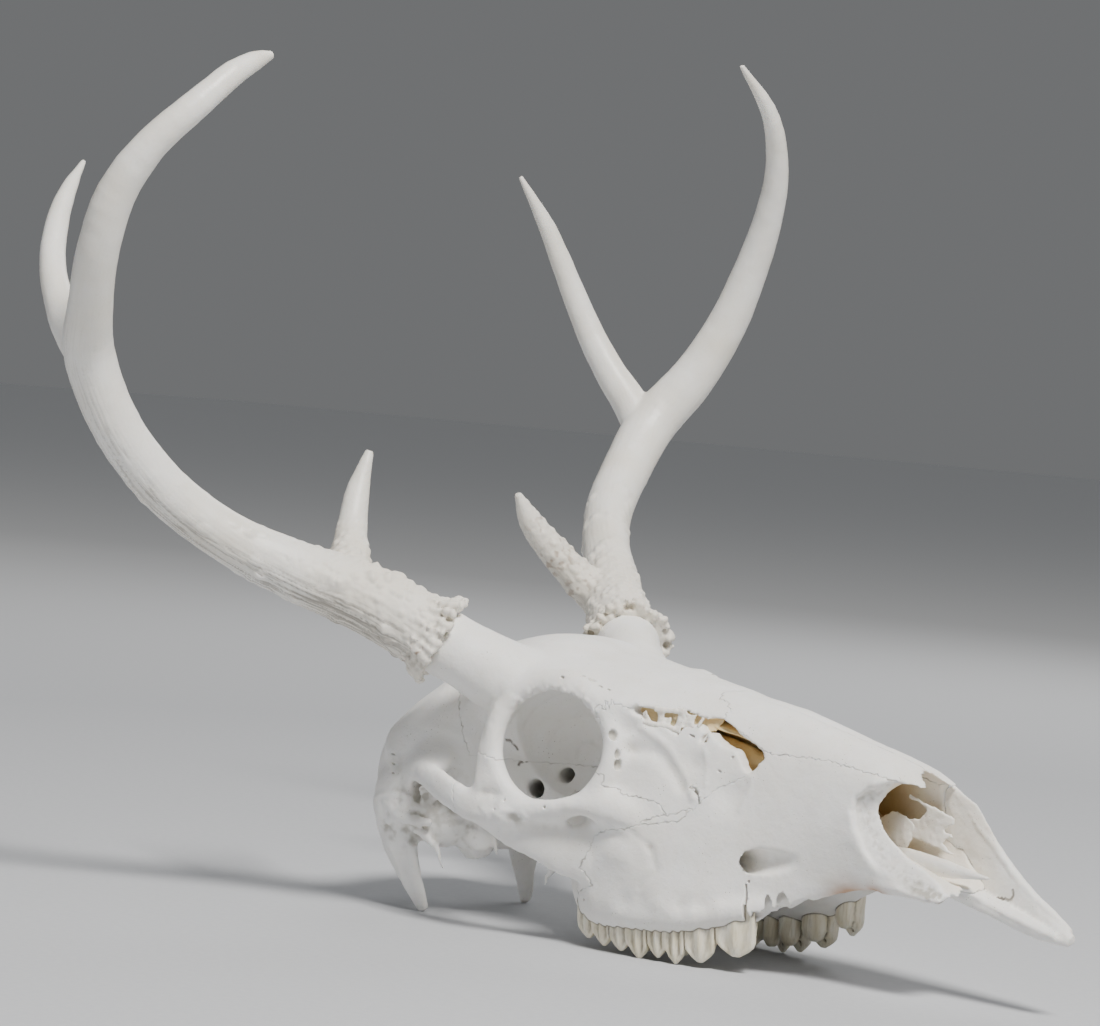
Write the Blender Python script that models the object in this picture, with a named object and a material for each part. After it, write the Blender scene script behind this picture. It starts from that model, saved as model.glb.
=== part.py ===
"""White-tailed buck skull with its antlers, life size, resting on its cheek teeth.

The skull is modelled whole and parted along its real seams with thin gaps.
Design frame, in millimetres: +X to the nose, +Y to the animal's left, +Z up,
the table at zero height. The last step moves the origin to the middle of the
box that the skull fills, at table height, and turns millimetres into metres.
"""
import math

import bmesh
import bpy
import numpy
from mathutils import Matrix, Vector

for leftover in list(bpy.data.objects):
    bpy.data.objects.remove(leftover, do_unlink=True)

# ---------------------------------------------------------------- driving sizes
MM = 0.001
SEAM = 0.3                      # gap left between two neighbouring bones
RIGHT, LEFT = -1, 1             # sign of y on each side of the animal
SIDE_NAMES = {RIGHT: "right", LEFT: "left"}

BONE_VOXEL = 2.2                # grain of the fused skull
BONE_FACES = 2080               # triangles kept for the fused skull
ANTLER_VOXEL = 2.0
ANTLER_FACES = 600              # triangles kept for each antler
SLIVER = 0.02                   # edges shorter than this are melted away
FLAT_ENOUGH = math.radians(2.0)
TOOTH_VOXEL = 0.8
TOOTH_FACES = 300               # triangles kept for each row of cheek teeth

ORBIT_CENTRE = (-181.7, 45.5, 70.2)
ORBIT_RADIUS = 19.8             # inner edge of the bony eye ring
ORBIT_FACING = (0.24, 0.95, 0.16)
EYE_RING_THICKNESS = 4.0

BURR_CENTRE = (-229.6, 55.1, 104.2)
BURR_RADIUS = 17.6
PEDICLE_FOOT = (-207.0, 33.0, 88.0)

GRINDING_TIP = (-138.0, -2.8)   # x and z of the lowest molar points
PROCESS_TIP = (-253.8, 0.4)     # x and z of the lowest points behind the ear
WORN_FLAT = 0.3                 # depth of the small flats that carry the skull

BONE_COLOUR = (0.80, 0.78, 0.72, 1.0)
ANTLER_COLOUR = (0.62, 0.53, 0.40, 1.0)


# ---------------------------------------------------------------- small helpers
def smooth_row(stations, place):
    """Read a table of stations (place, size, size, ...) along a smooth curve."""
    table = numpy.array(sorted(stations), dtype=float)
    places = table[:, 0]
    place = min(max(place, places[0]), places[-1])
    slopes = numpy.gradient(table, places, axis=0)
    after = int(numpy.clip(numpy.searchsorted(places, place), 1, len(places) - 1))
    start, end = table[after - 1], table[after]
    span = places[after] - places[after - 1]
    t = (place - places[after - 1]) / span
    value = (start * (1 + 2 * t) * (1 - t) ** 2 + slopes[after - 1] * span * t * (1 - t) ** 2
             + end * t * t * (3 - 2 * t) + slopes[after] * span * t * t * (t - 1))
    return value[1:]


def along(points, count):
    """Rows at even steps along a smooth curve through (x, y, z, size, size)."""
    table = numpy.array(points, dtype=float)
    steps = numpy.linalg.norm(numpy.diff(table[:, :3], axis=0), axis=1)
    run = numpy.concatenate([[0.0], numpy.cumsum(steps)])
    stations = [(run[i], *table[i]) for i in range(len(table))]
    return [smooth_row(stations, run[-1] * i / (count - 1)) for i in range(count)]


def ring_curve(corners, steps):
    """A smooth closed ring through its corners, with the same steps between each two."""
    ring = []
    total = len(corners)
    for i in range(total):
        before, here, after, beyond = (numpy.array(corners[(i + k) % total]) for k in (-1, 0, 1, 2))
        for s in range(steps):
            t = s / steps
            ring.append(0.5 * (2 * here + (after - before) * t
                               + (2 * before - 5 * here + 4 * after - beyond) * t * t
                               + (3 * here - before - 3 * after + beyond) * t ** 3))
    return ring


def circle_loop(bm, ring):
    """One closed loop of edges through the points of a ring."""
    circle = bmesh.ops.create_circle(bm, segments=len(ring), radius=1.0)
    for vertex, point in zip(circle["verts"], ring):
        vertex.co = Vector(point)
    return list({edge for vertex in circle["verts"] for edge in vertex.link_edges})


def loft(bm, rings, closed_hoop=False):
    """Bridge rings into a body with capped ends, or into a closed hoop."""
    loops = [circle_loop(bm, ring) for ring in rings]
    for here, after in zip(loops, loops[1:]):
        bmesh.ops.bridge_loops(bm, edges=here + after)
    if closed_hoop:
        bmesh.ops.bridge_loops(bm, edges=loops[-1] + loops[0])
    else:
        bmesh.ops.holes_fill(bm, edges=loops[0], sides=0)
        bmesh.ops.holes_fill(bm, edges=loops[-1], sides=0)


def turns(count):
    """Angles once around a circle."""
    return [2 * math.pi * k / count for k in range(count)]


def tube(bm, points, sides=12, count=12, upright=(0.0, 0.0, 1.0)):
    """A tapering tube through (x, y, z, half width, half height)."""
    rows = along([(*p, p[3]) if len(p) == 4 else p for p in points], count)
    rings = []
    for i, row in enumerate(rows):
        forward = Vector(rows[min(i + 1, count - 1)][:3] - rows[max(i - 1, 0)][:3]).normalized()
        side = Vector(upright).cross(forward).normalized()
        rise = forward.cross(side).normalized()
        centre = Vector(row[:3])
        across, upwards = side * row[3], rise * row[4]
        rings.append([centre + across * math.cos(a) + upwards * math.sin(a) for a in turns(sides)])
    loft(bm, rings)


def ball(bm, centre, sizes, tilt=(0.0, 0.0, 0.0), segments=16):
    """An egg shape with three half sizes, turned by degrees about x, y and z."""
    turn = Matrix.LocRotScale(None, None, Vector(sizes))
    for axis, degrees in zip("XYZ", tilt):
        turn = Matrix.Rotation(math.radians(degrees), 4, axis) @ turn
    bmesh.ops.create_uvsphere(bm, u_segments=segments, v_segments=max(8, segments * 3 // 4), radius=1.0,
                              matrix=Matrix.Translation(Vector(centre)) @ turn)


def slab(bm, outline, near_y, far_y, slant=0.0):
    """A plate with an outline of (x, z) corners; its near face may slant along x."""
    far_face = bm.faces.new([bm.verts.new((x, far_y, z)) for x, z in outline])
    raised = bmesh.ops.extrude_face_region(bm, geom=[far_face])
    for vertex in (item for item in raised["geom"] if isinstance(item, bmesh.types.BMVert)):
        vertex.co.y = near_y + slant * vertex.co.x


def on_side(side, point):
    """A place given for the animal's left, moved to the asked side."""
    return (point[0], point[1] * side, *point[2:])


def to_object(bm, name):
    """Turn millimetres into metres and hand the shape over as an object."""
    bmesh.ops.recalc_face_normals(bm, faces=bm.faces)
    bmesh.ops.scale(bm, vec=(MM, MM, MM), verts=bm.verts)
    mesh = bpy.data.meshes.new(name)
    bm.to_mesh(mesh)
    bm.free()
    made = bpy.data.objects.new(name, mesh)
    bpy.context.scene.collection.objects.link(made)
    return made


def settle(body):
    """Keep the shape that the modifiers give, and drop the modifiers."""
    bpy.context.view_layer.update()
    shape = bpy.data.meshes.new_from_object(body.evaluated_get(bpy.context.evaluated_depsgraph_get()))
    body.modifiers.clear()
    body.data = shape
    return body


def fuse(body, voxel, smoothing, faces):
    """Grow overlapping shapes into one skin, soften it, and thin its faces."""
    remesh = body.modifiers.new("fuse", "REMESH")
    remesh.mode = "VOXEL"
    remesh.voxel_size = voxel * MM
    soften = body.modifiers.new("soften", "SMOOTH")
    soften.factor = 0.5
    soften.iterations = smoothing
    settle(body)
    thin = body.modifiers.new("thin", "DECIMATE")
    thin.ratio = min(1.0, faces / (2 * len(body.data.polygons)))
    return settle(body)


def boolean(body, cutter, operation):
    """Cut away, join on, or keep only what a second body shares.

    The exact solver drops whole bones where these thinned skins graze each other.
    """
    change = body.modifiers.new(operation.lower(), "BOOLEAN")
    change.operation = operation
    change.object = cutter
    change.solver = "MANIFOLD"
    settle(body)
    bpy.data.objects.remove(cutter, do_unlink=True)
    return body


def copy_of(body, name):
    """A second object with its own copy of the mesh."""
    made = bpy.data.objects.new(name, body.data.copy())
    bpy.context.scene.collection.objects.link(made)
    return made


def grown(body, name, amount):
    """A copy whose faces all stand further out by the same amount."""
    made = copy_of(body, name)
    bm = bmesh.new()
    bm.from_mesh(made.data)
    shifts = [vertex.normal * vertex.calc_shell_factor() * amount * MM for vertex in bm.verts]
    for vertex, shift in zip(bm.verts, shifts):
        vertex.co += shift
    bm.to_mesh(made.data)
    bm.free()
    return made


# ---------------------------------------------------------------- the skull's masses
# Muzzle: place, roof height, crown edge (y, z), upper wall (y, z), cheek (y, z), gum (y, z), floor
MUZZLE = (
    (-28, 65, 8.5, 63, 14.5, 56, 15.5, 46, 12.0, 34, 34),
    (-55, 75.0, 10.0, 73.6, 17.0, 66, 19.0, 52, 15.0, 33, 34),
    (-80, 81.8, 11.5, 80, 19.0, 71, 22.0, 51, 17.5, 27, 31),
    (-104, 88.4, 13.0, 86, 22.5, 72, 26.0, 44, 26.5, 16, 27),
    (-128, 92.6, 19.0, 89, 28.0, 74, 35.0, 40, 35.5, 10.2, 24),
    (-150, 97.2, 26.0, 92, 34.0, 76, 40.5, 38, 38.0, 8.8, 22),
    (-168, 98.6, 28.0, 91, 34.0, 76, 38.5, 38, 37.0, 9.6, 23),
    (-177, 99.0, 24.0, 90, 28.0, 76, 31.0, 38, 32.0, 13.5, 25),
    (-188, 99.0, 22.0, 90, 22.0, 76, 24.0, 42, 24.0, 26, 28),
)
# Forehead: place, roof height, shoulder (y, z), rim (y, z), wall (y, z), floor
FOREHEAD = (
    (-140, 95.8, 16, 93, 26, 86, 20, 70, 62),
    (-155, 98.2, 22, 95, 37, 86, 26, 68, 55),
    (-170, 99.6, 25, 97, 43, 88, 30, 66, 48),
    (-186, 103.0, 26, 100, 45.5, 91.5, 30, 66, 40),
    (-200, 106.4, 26, 104, 45, 91, 30, 64, 38),
    (-214, 107.6, 25, 104, 40, 90, 30, 64, 38),
    (-232, 104.0, 22, 100, 33, 86, 30, 62, 38),
)
# Braincase: place, half width, low, high, height of its widest line
BRAINCASE = (
    (-196, 22, 34, 96, 66),
    (-210, 30, 31, 100, 64),
    (-226, 35.5, 28, 103, 62),
    (-242, 37.5, 26, 100, 60),
    (-256, 39.0, 25, 92, 58),
    (-266, 40.0, 25, 83, 56),
    (-273, 36.5, 26, 75, 50),
    (-279, 24.0, 30, 64, 46),
)
# Skull base, from the back of the palate to the neck joint: place, half width, low, high
BASE = (
    (-158, 17, 22, 60),
    (-180, 14, 27, 60),
    (-205, 15, 29, 60),
    (-230, 16, 25, 60),
    (-262, 17, 23, 50),
    (-280, 13, 25, 50),
)
# Cheek arch, front to back: x, y, z, half thickness, half height
CHEEK_ARCH = (
    (-146, 33.0, 46.0, 7.0, 9.0),
    (-158, 41.5, 50.0, 4.8, 6.2),
    (-170, 46.0, 50.0, 3.8, 3.4),
    (-182, 49.6, 47.6, 3.8, 3.6),
    (-192, 52.0, 45.0, 4.0, 5.4),
    (-206, 53.8, 44.6, 3.6, 6.0),
    (-220, 52.6, 48.2, 3.2, 5.8),
    (-232, 48.8, 51.6, 3.4, 6.0),
    (-244, 42.0, 54.5, 5.5, 5.2),
    (-252, 36.0, 52.0, 7.0, 8.0),
)
# Muscle scar and thickening at the foot of the bar behind the eye
ARCH_SCAR = (-199, 53.0, 43.5)
# Thin web under the front of the arch, back to the jaw bone behind the molars
CHEEK_WEB = ((-208, 51.5, 42.5, 2.4, 3.6), (-197, 48.6, 38.6, 2.6, 6.6), (-186, 44.6, 36.0, 3.0, 8.4),
             (-176, 41.0, 33.0, 3.4, 10.0), (-166, 38.0, 32.0, 4.0, 11.0))
# Swelling along the outer gum line
GUM_RIDGE = ((-97, 23.6, 22.0, 2.6, 3.4), (-104, 26.4, 19.6, 3.4, 4.0), (-114, 29.4, 17.2, 3.8, 4.2),
             (-126, 33.0, 14.4, 4.0, 4.2), (-140, 35.4, 13.2, 4.0, 4.0), (-157, 36.2, 13.4, 4.0, 4.0),
             (-170, 34.8, 14.8, 3.6, 4.0))
# The bar between the eye ring and the cheek arch widens into both
BAR = ((-200, 43.5, 86, 4.5, 5.5), (-206.5, 47.5, 76, 3.4, 4.2), (-207.5, 50.5, 64, 3.2, 4.0),
       (-204, 52.8, 52, 3.6, 6.5))
PARACONDYLAR = ((-263, 38.0, 38, 4.2, 9.0), (-262.0, 36.5, 26, 3.6, 8.0), (-257.8, 33.0, 11, 2.7, 4.6),
                (-253.8, 30.0, 0.4, 2.2, 2.8))
EAR_TUBE = ((-248, 26, 35, 5, 5), (-251, 36, 40, 4.2, 4.6), (-254, 43, 42, 4.0, 4.4))
HAMULUS = ((-180, 10.5, 42, 2.2, 9.0), (-194, 11.5, 31, 2.1, 7.0), (-202, 12.6, 22, 1.9, 4.2),
           (-206, 13.2, 15, 1.6, 2.2))
STYLOID = ((-246, 31, 30, 2.2, 2.4), (-241, 33.5, 24, 1.5, 1.5), (-239, 34, 18.5, 0.7, 0.7))


def mirrored_ring(x, half, steps):
    """A smooth ring from its left half outline, top to bottom."""
    outline = half + [(-y, z) for y, z in half[-2:0:-1]]
    return [(x, y, z) for y, z in ring_curve(outline, steps)]


def muzzle_ring(x, steps):
    roof, crown_y, crown_z, upper_y, upper_z, cheek_y, cheek_z, gum_y, gum_z, floor = smooth_row(MUZZLE, x)
    half = [(0, roof), (crown_y, crown_z), (upper_y, upper_z), (cheek_y, cheek_z), (gum_y, gum_z),
            (gum_y * 0.62, min(gum_z + 1.5, floor - 1.0)), (gum_y * 0.5, floor - 2.5), (0, floor)]
    return mirrored_ring(x, half, steps)


def forehead_ring(x, steps):
    roof, shoulder_y, shoulder_z, rim_y, rim_z, wall_y, wall_z, floor = smooth_row(FOREHEAD, x)
    half = [(0, roof), (shoulder_y, shoulder_z), (rim_y, rim_z), (wall_y, wall_z),
            (wall_y * 0.6, floor + 3), (0, floor)]
    return mirrored_ring(x, half, steps)


def egg_ring(x, half_width, low, high, middle, sides):
    """An oval that is widest at its own middle height."""
    ring = []
    for turn in turns(sides):
        reach = (high - middle) if math.sin(turn) > 0 else (middle - low)
        ring.append((x, half_width * math.cos(turn), middle + reach * math.sin(turn)))
    return ring


def orbit_axes(side):
    """The eye socket's forward, upward and outward directions."""
    facing = Vector(on_side(side, ORBIT_FACING)).normalized()
    forward = (Vector((1, 0, 0)) - facing * facing.x).normalized()
    upward = Vector((0, 0, 1)) - facing * facing.z
    upward = (upward - forward * upward.dot(forward)).normalized()
    return forward, upward, facing


def orbit_ring(side, radius, depth, sides):
    """A circle square to the socket's axis, so far in from the rim."""
    forward, upward, facing = orbit_axes(side)
    centre = Vector(on_side(side, ORBIT_CENTRE)) - facing * depth
    return [centre + (forward * math.cos(a) + upward * math.sin(a)) * radius for a in turns(sides)]


def add_eye_ring(bm, side, count=24, sides=8):
    """The raised bony ring round the eye socket."""
    forward, upward, facing = orbit_axes(side)
    centre = Vector(on_side(side, ORBIT_CENTRE)) - facing * 1.5
    rings = []
    for turn in turns(count):
        outward = forward * math.cos(turn) + upward * math.sin(turn)
        middle = centre + outward * (ORBIT_RADIUS + EYE_RING_THICKNESS)
        rings.append([middle + (outward * math.cos(a) + facing * math.sin(a)) * EYE_RING_THICKNESS
                      for a in turns(sides)])
    loft(bm, rings, closed_hoop=True)


def add_side_masses(bm, side):
    """What stands out on one side: eye ring, cheek arch, pedicle, ear region."""
    def placed(rows):
        return [on_side(side, row) for row in rows]

    add_eye_ring(bm, side)
    tube(bm, placed(CHEEK_ARCH), sides=12, count=20)
    tube(bm, placed(CHEEK_WEB), sides=12, count=8)
    tube(bm, placed(GUM_RIDGE), sides=10, count=14)
    tube(bm, placed(BAR), sides=12, count=8, upright=(1.0, 0.0, 0.0))
    ball(bm, on_side(side, ARCH_SCAR), (9, 4.2, 4.4), (0, -6, 8 * side))
    ball(bm, on_side(side, (-153, 35, 34)), (12, 7, 10))
    foot, top = Vector(on_side(side, PEDICLE_FOOT)), Vector(on_side(side, BURR_CENTRE))
    tube(bm, [(*foot, 17, 16), (*foot.lerp(top, 0.45), 13.6, 13.4), (*foot.lerp(top, 0.8), 12.4, 12.4),
              (*top, 12.8, 12.8)], sides=16, count=8)
    ball(bm, on_side(side, (-281, 13, 33)), (8.5, 8.5, 12), (0, 25, 0))
    ball(bm, on_side(side, (-262, 38, 42)), (9, 6.5, 14))
    ball(bm, on_side(side, (-246, 28, 33)), (10, 8, 8))
    tube(bm, placed(EAR_TUBE), sides=10, count=5)
    tube(bm, placed(PARACONDYLAR), sides=10, count=8, upright=(1.0, 0.0, 0.0))
    tube(bm, placed(STYLOID), sides=8, count=5, upright=(1.0, 0.0, 0.0))
    tube(bm, placed(HAMULUS), sides=8, count=7)


def skull_masses():
    """Every bony mass as an overlapping closed shape."""
    bm = bmesh.new()
    loft(bm, [muzzle_ring(x, 3) for x in numpy.linspace(-28, -188, 21)])
    loft(bm, [forehead_ring(x, 3) for x in numpy.linspace(-140, -232, 13)])
    loft(bm, [egg_ring(x, *smooth_row(BRAINCASE, x), 24) for x in numpy.linspace(-196, -279, 12)])
    base_rows = [(x, smooth_row(BASE, x)) for x in numpy.linspace(-158, -280, 10)]
    loft(bm, [egg_ring(x, half, low, high, (low + high) / 2, 16) for x, (half, low, high) in base_rows])
    for side in (RIGHT, LEFT):
        add_side_masses(bm, side)
    return to_object(bm, "skull")


# ---------------------------------------------------------------- openings cut in the bone
# Eye socket, from outside the rim inwards: depth, radius
SOCKET = ((-14, 19.8), (0, 19.8), (9, 22.0), (18, 21.6), (27, 16.5), (34, 5.0))
# Nose cavity: place, half width, low, high
NOSE_CAVITY = (
    (-15, 12.5, 37.0, 68.0),
    (-45, 14.5, 37.0, 72.0),
    (-60, 16.0, 37.0, 73.5),
    (-80, 18.5, 35.0, 78.5),
    (-104, 20.5, 34.0, 84.0),
    (-128, 23.5, 38.0, 88.0),
    (-148, 24.0, 50.0, 89.0),
    (-162, 15.0, 62.0, 88.0),
)
# Front rim of the upper jaw bones: (x, z), top to bottom. The right one has broken further back.
FRONT_RIM = {
    RIGHT: ((-54.5, 69.3), (-59.5, 65.5), (-60.2, 61.5), (-57.7, 57.4), (-50.6, 46.4), (-40.6, 38.4),
            (-33.0, 31.4)),
    LEFT: ((-48.0, 69.3), (-50.0, 65.5), (-50.0, 61.5), (-48.0, 57.4), (-40.6, 46.4), (-33.0, 37.4),
           (-29.0, 31.4)),
}
# Under edge of the nose bones ahead of the jaw: notch, then the side prong's tip
NOSE_PRONG = ((-30.0, 80.0), (-52.8, 76.5), (-55.0, 74.0), (-51.5, 71.5), (-44.0, 67.6))
# Open window between nose, tear and forehead bones: (x, z)
WINDOW = ((-165, 84.6), (-156, 86.2), (-141, 85.6), (-129, 85.4), (-120.5, 84.2), (-113.5, 79.0),
          (-107.0, 75.0), (-103.6, 71.8), (-109.0, 67.2), (-113.5, 71.0), (-117.0, 75.6), (-124.0, 76.6),
          (-134.0, 77.6), (-147.0, 81.0), (-156.0, 82.6))


# Nerve holes in the depth of the socket: x, y, z, radius
NERVE_HOLES = (((-203, 28, 51, 3.4), (-206, 16, 50, 3.4), (-208, 4, 49, 3.0)),
               ((-193, 26, 57.5, 2.6), (-195, 15, 57.2, 2.6), (-196, 5, 57, 2.4)))


def socket_cutter(side):
    bm = bmesh.new()
    loft(bm, [orbit_ring(side, radius, depth, 20) for depth, radius in SOCKET])
    return to_object(bm, "socket_cutter")


def nose_cutter():
    bm = bmesh.new()
    rows = [(x, smooth_row(NOSE_CAVITY, x)) for x in numpy.linspace(-15, -162, 12)]
    loft(bm, [egg_ring(x, half, low, high, (low * 0.55 + high * 0.45), 16) for x, (half, low, high) in rows])
    return to_object(bm, "nose_cutter")


def front_cutter(side):
    """Everything ahead of one side's rim and round the prong of its nose bone."""
    bm = bmesh.new()
    ahead = ((-28.0, 20.0), (-10.0, 20.0), (-10.0, 80.0))
    slab(bm, [*NOSE_PRONG, (-47.5, 68.8), *FRONT_RIM[side], *ahead], -0.2 * side, 40.0 * side)
    return to_object(bm, "front_cutter")


def window_cutter(side):
    bm = bmesh.new()
    slab(bm, WINDOW, 14.0 * side, 46.0 * side)
    return to_object(bm, "window_cutter")


# Channel of the cheek nerve, from inside the muzzle out to its pocket before the teeth
NERVE_POCKET = ((-120, 17, 35, 2.4, 3.0), (-112, 20.5, 35, 3.2, 4.4), (-105, 24.0, 35.5, 4.2, 5.2),
                (-97, 25.0, 36, 4.2, 6.0), (-88, 24.8, 37, 3.6, 5.4), (-80, 24.0, 38.5, 2.4, 3.0))


def small_openings(side):
    """Nerve holes in the socket and the cheek, and the hollows before the eye and under the arch."""
    bm = bmesh.new()
    for nerve_hole in NERVE_HOLES:
        tube(bm, [on_side(side, row) for row in nerve_hole], sides=10, count=3)
    tube(bm, [on_side(side, row) for row in NERVE_POCKET], sides=10, count=8)
    ball(bm, on_side(side, (-236, 38.5, 40.5)), (12.5, 6.5, 5.0), (0, 22, 0), 12)
    ball(bm, on_side(side, (-141, 45.5, 64)), (17, 9.5, 12), (0, 0, 14 * side), 12)
    return to_object(bm, "small_openings")


def base_openings():
    """The throat opening behind the palate and the hole for the spinal cord."""
    bm = bmesh.new()
    ball(bm, (-180, 0, 30), (15, 6.5, 9), segments=10)
    ball(bm, (-286, 0, 43), (18, 9, 10), segments=12)
    return to_object(bm, "base_openings")


# ---------------------------------------------------------------- cheek teeth
# Name, front x, front outer y, back x, back outer y, width, root height, tip height of each lobe
TEETH = (
    ("p2", -86.5, 21.5, -97.5, 26.0, 8.0, 29.0, (9.0,)),
    ("p3", -100.4, 27.0, -114.7, 31.0, 10.5, 21.0, (2.4,)),
    ("p4", -114.7, 31.3, -125.5, 34.5, 12.0, 18.0, (-1.0,)),
    ("m1", -125.7, 34.9, -140.3, 37.0, 13.5, 16.0, (-2.8, -1.2)),
    ("m2", -140.5, 37.2, -156.8, 38.0, 14.0, 15.0, (-2.8, -0.8)),
    ("m3", -157.0, 38.0, -173.2, 36.0, 13.0, 16.0, (0.0, 1.6)),
)
# A lobe from its root to its worn tip: share of the height, share of the length, lean inwards
LOBE = ((1.0, 0.78, 0.0), (0.55, 0.96, 0.0), (0.28, 0.90, -0.5), (0.0, 0.30, -1.6))


def add_tooth(bm, side, front, back, width, root, tips):
    """A cheek tooth: each lobe is a column that ends in a chisel edge."""
    run = (back - front) / len(tips)
    along_row = run.normalized()
    inward = Vector((along_row.y, -along_row.x, 0.0))
    if inward.y * side > 0:
        inward.negate()
    for lobe, tip in enumerate(tips):
        middle = front + run * (lobe + 0.5) + inward * width * 0.5
        rings = []
        for height, grow, lean in LOBE:
            centre = middle + inward * lean + Vector((0, 0, tip + (root - tip) * height))
            rings.append([centre + along_row * math.cos(a) * run.length * 0.5 * grow
                          + inward * math.sin(a) * width * 0.5 * max(grow, 0.5) for a in turns(8)])
        loft(bm, rings)


def tooth_row(side, name):
    bm = bmesh.new()
    for tooth, front_x, front_y, back_x, back_y, width, root, tips in TEETH:
        if tooth == "p2" and side == RIGHT:
            continue            # this tooth has fallen out of its broken socket
        add_tooth(bm, side, Vector((front_x, front_y * side, 0)), Vector((back_x, back_y * side, 0)),
                  width, root, tips)
    return fuse(to_object(bm, name), TOOTH_VOXEL, 1, TOOTH_FACES)


# ---------------------------------------------------------------- left front jaw bone
# Plate beside the nose opening, top to tip: x, y, z, half thickness, half breadth
PREMAXILLA = (
    (-50.2, 12.8, 67.0, 1.2, 3.8),
    (-45.5, 12.6, 57.5, 1.3, 10.2),
    (-38.8, 12.6, 49.2, 1.4, 10.4),
    (-30.0, 12.4, 40.5, 1.5, 8.4),
    (-19.5, 11.6, 32.4, 1.8, 7.6),
    (-5.6, 9.4, 25.8, 2.4, 4.4),
    (3.8, 7.4, 22.7, 2.8, 2.7),
    (8.2, 6.4, 21.2, 1.9, 1.6),
)
# Flat shelf along the palate, back to front
PALATE_SHELF = ((-58, 7.5, 34.0, 4.5, 1.3), (-40, 7.6, 31.2, 4.6, 1.6), (-25, 7.2, 29.0, 4.6, 1.9),
                (-10, 7.0, 25.2, 4.4, 2.2), (3, 6.4, 21.8, 3.4, 2.0))
# Thin midline bone on the floor of the nose, back to its free spike
VOMER = ((-118, 0, 40.0, 1.2, 6.0), (-90, 0, 39.5, 1.2, 7.0), (-62, 0, 40.5, 1.3, 5.5),
         (-48, -0.3, 41.8, 1.2, 3.0), (-24, -0.8, 38.8, 0.9, 0.9))


def premaxilla_shape():
    bm = bmesh.new()
    tube(bm, PREMAXILLA, sides=10, count=14)
    tube(bm, PALATE_SHELF, sides=10, count=10)
    return fuse(to_object(bm, "left_premaxilla"), 0.9, 2, 300)


def vomer_shape():
    bm = bmesh.new()
    tube(bm, VOMER, sides=8, count=12)
    return to_object(bm, "vomer")


# ---------------------------------------------------------------- antlers
# Rows of x, y (outwards), z, radius. The beam runs from the burr to the tip.
ANTLERS = {
    RIGHT: {
        "beam": ((-229.6, 55.1, 104.2, 13.8), (-250.9, 71.2, 117.3, 13.2), (-270.5, 90.1, 126.2, 11.5),
                 (-287.5, 110.0, 137.4, 9.8), (-300.7, 129.7, 153.4, 9.5), (-308.5, 147.6, 175.0, 9.4),
                 (-309.2, 162.4, 200.7, 9.6), (-298.6, 173.0, 217.4, 8.4), (-287.8, 181.0, 235.5, 7.9),
                 (-278.0, 183.4, 254.9, 7.4), (-266.7, 179.0, 272.3, 6.3), (-256.3, 168.4, 287.3, 5.1),
                 (-251.9, 153.9, 300.6, 3.7), (-253.7, 135.4, 308.5, 1.3)),
        "fork_tine": ((-309.0, 160.0, 196.0, 8.0), (-320.5, 161.6, 208.5, 7.0), (-330.5, 158.6, 219.0, 5.9),
                      (-338.6, 154.9, 229.1, 5.3), (-347.1, 147.2, 244.1, 4.8), (-353.3, 137.0, 259.2, 3.7),
                      (-358.2, 124.8, 272.6, 1.3)),
        "brow_tine": ((-257.0, 77.5, 121.5, 9.0), (-267.2, 65.2, 129.6, 7.0), (-275.1, 56.2, 140.5, 5.2),
                      (-279.3, 49.8, 154.9, 4.2), (-279.1, 44.3, 172.6, 1.5)),
        "fork_cuts": ((-304.0, 168.2, 209.8), (-321.0, 161.5, 209.0)),
        "brow_cut": (-267.2, 65.2, 129.6),
    },
    LEFT: {
        "beam": ((-229.3, 55.2, 103.6, 13.6), (-249.7, 72.5, 115.7, 12.4), (-268.3, 90.8, 127.9, 10.8),
                 (-286.2, 108.5, 140.5, 9.9), (-299.7, 127.2, 154.8, 10.3), (-307.4, 146.8, 171.6, 10.6),
                 (-309.6, 164.1, 190.4, 11.0), (-299.0, 175.6, 209.7, 10.0), (-287.6, 181.2, 231.4, 8.9),
                 (-277.1, 181.6, 253.7, 7.8), (-266.1, 177.6, 275.7, 6.6), (-256.1, 169.1, 297.4, 5.3),
                 (-250.4, 154.9, 318.4, 4.0), (-252.1, 134.8, 337.4, 1.3)),
        "fork_tine": ((-309.5, 161.0, 185.5, 9.0), (-320.5, 161.2, 199.0, 8.0), (-330.5, 158.0, 212.5, 7.0),
                      (-338.6, 154.0, 227.7, 6.2), (-345.8, 147.1, 248.0, 5.3), (-351.5, 137.7, 269.8, 4.1),
                      (-357.7, 124.5, 291.2, 1.3)),
        "brow_tine": ((-257.5, 76.0, 116.5, 9.0), (-267.4, 66.0, 128.2, 7.2), (-274.3, 57.4, 138.7, 6.2),
                      (-278.4, 49.8, 148.6, 4.8), (-279.5, 42.9, 158.3, 1.6)),
        "fork_cuts": ((-304.4, 170.8, 201.4), (-321.2, 161.0, 200.0)),
        "brow_cut": (-267.2, 66.2, 128.0),
    },
}


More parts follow.
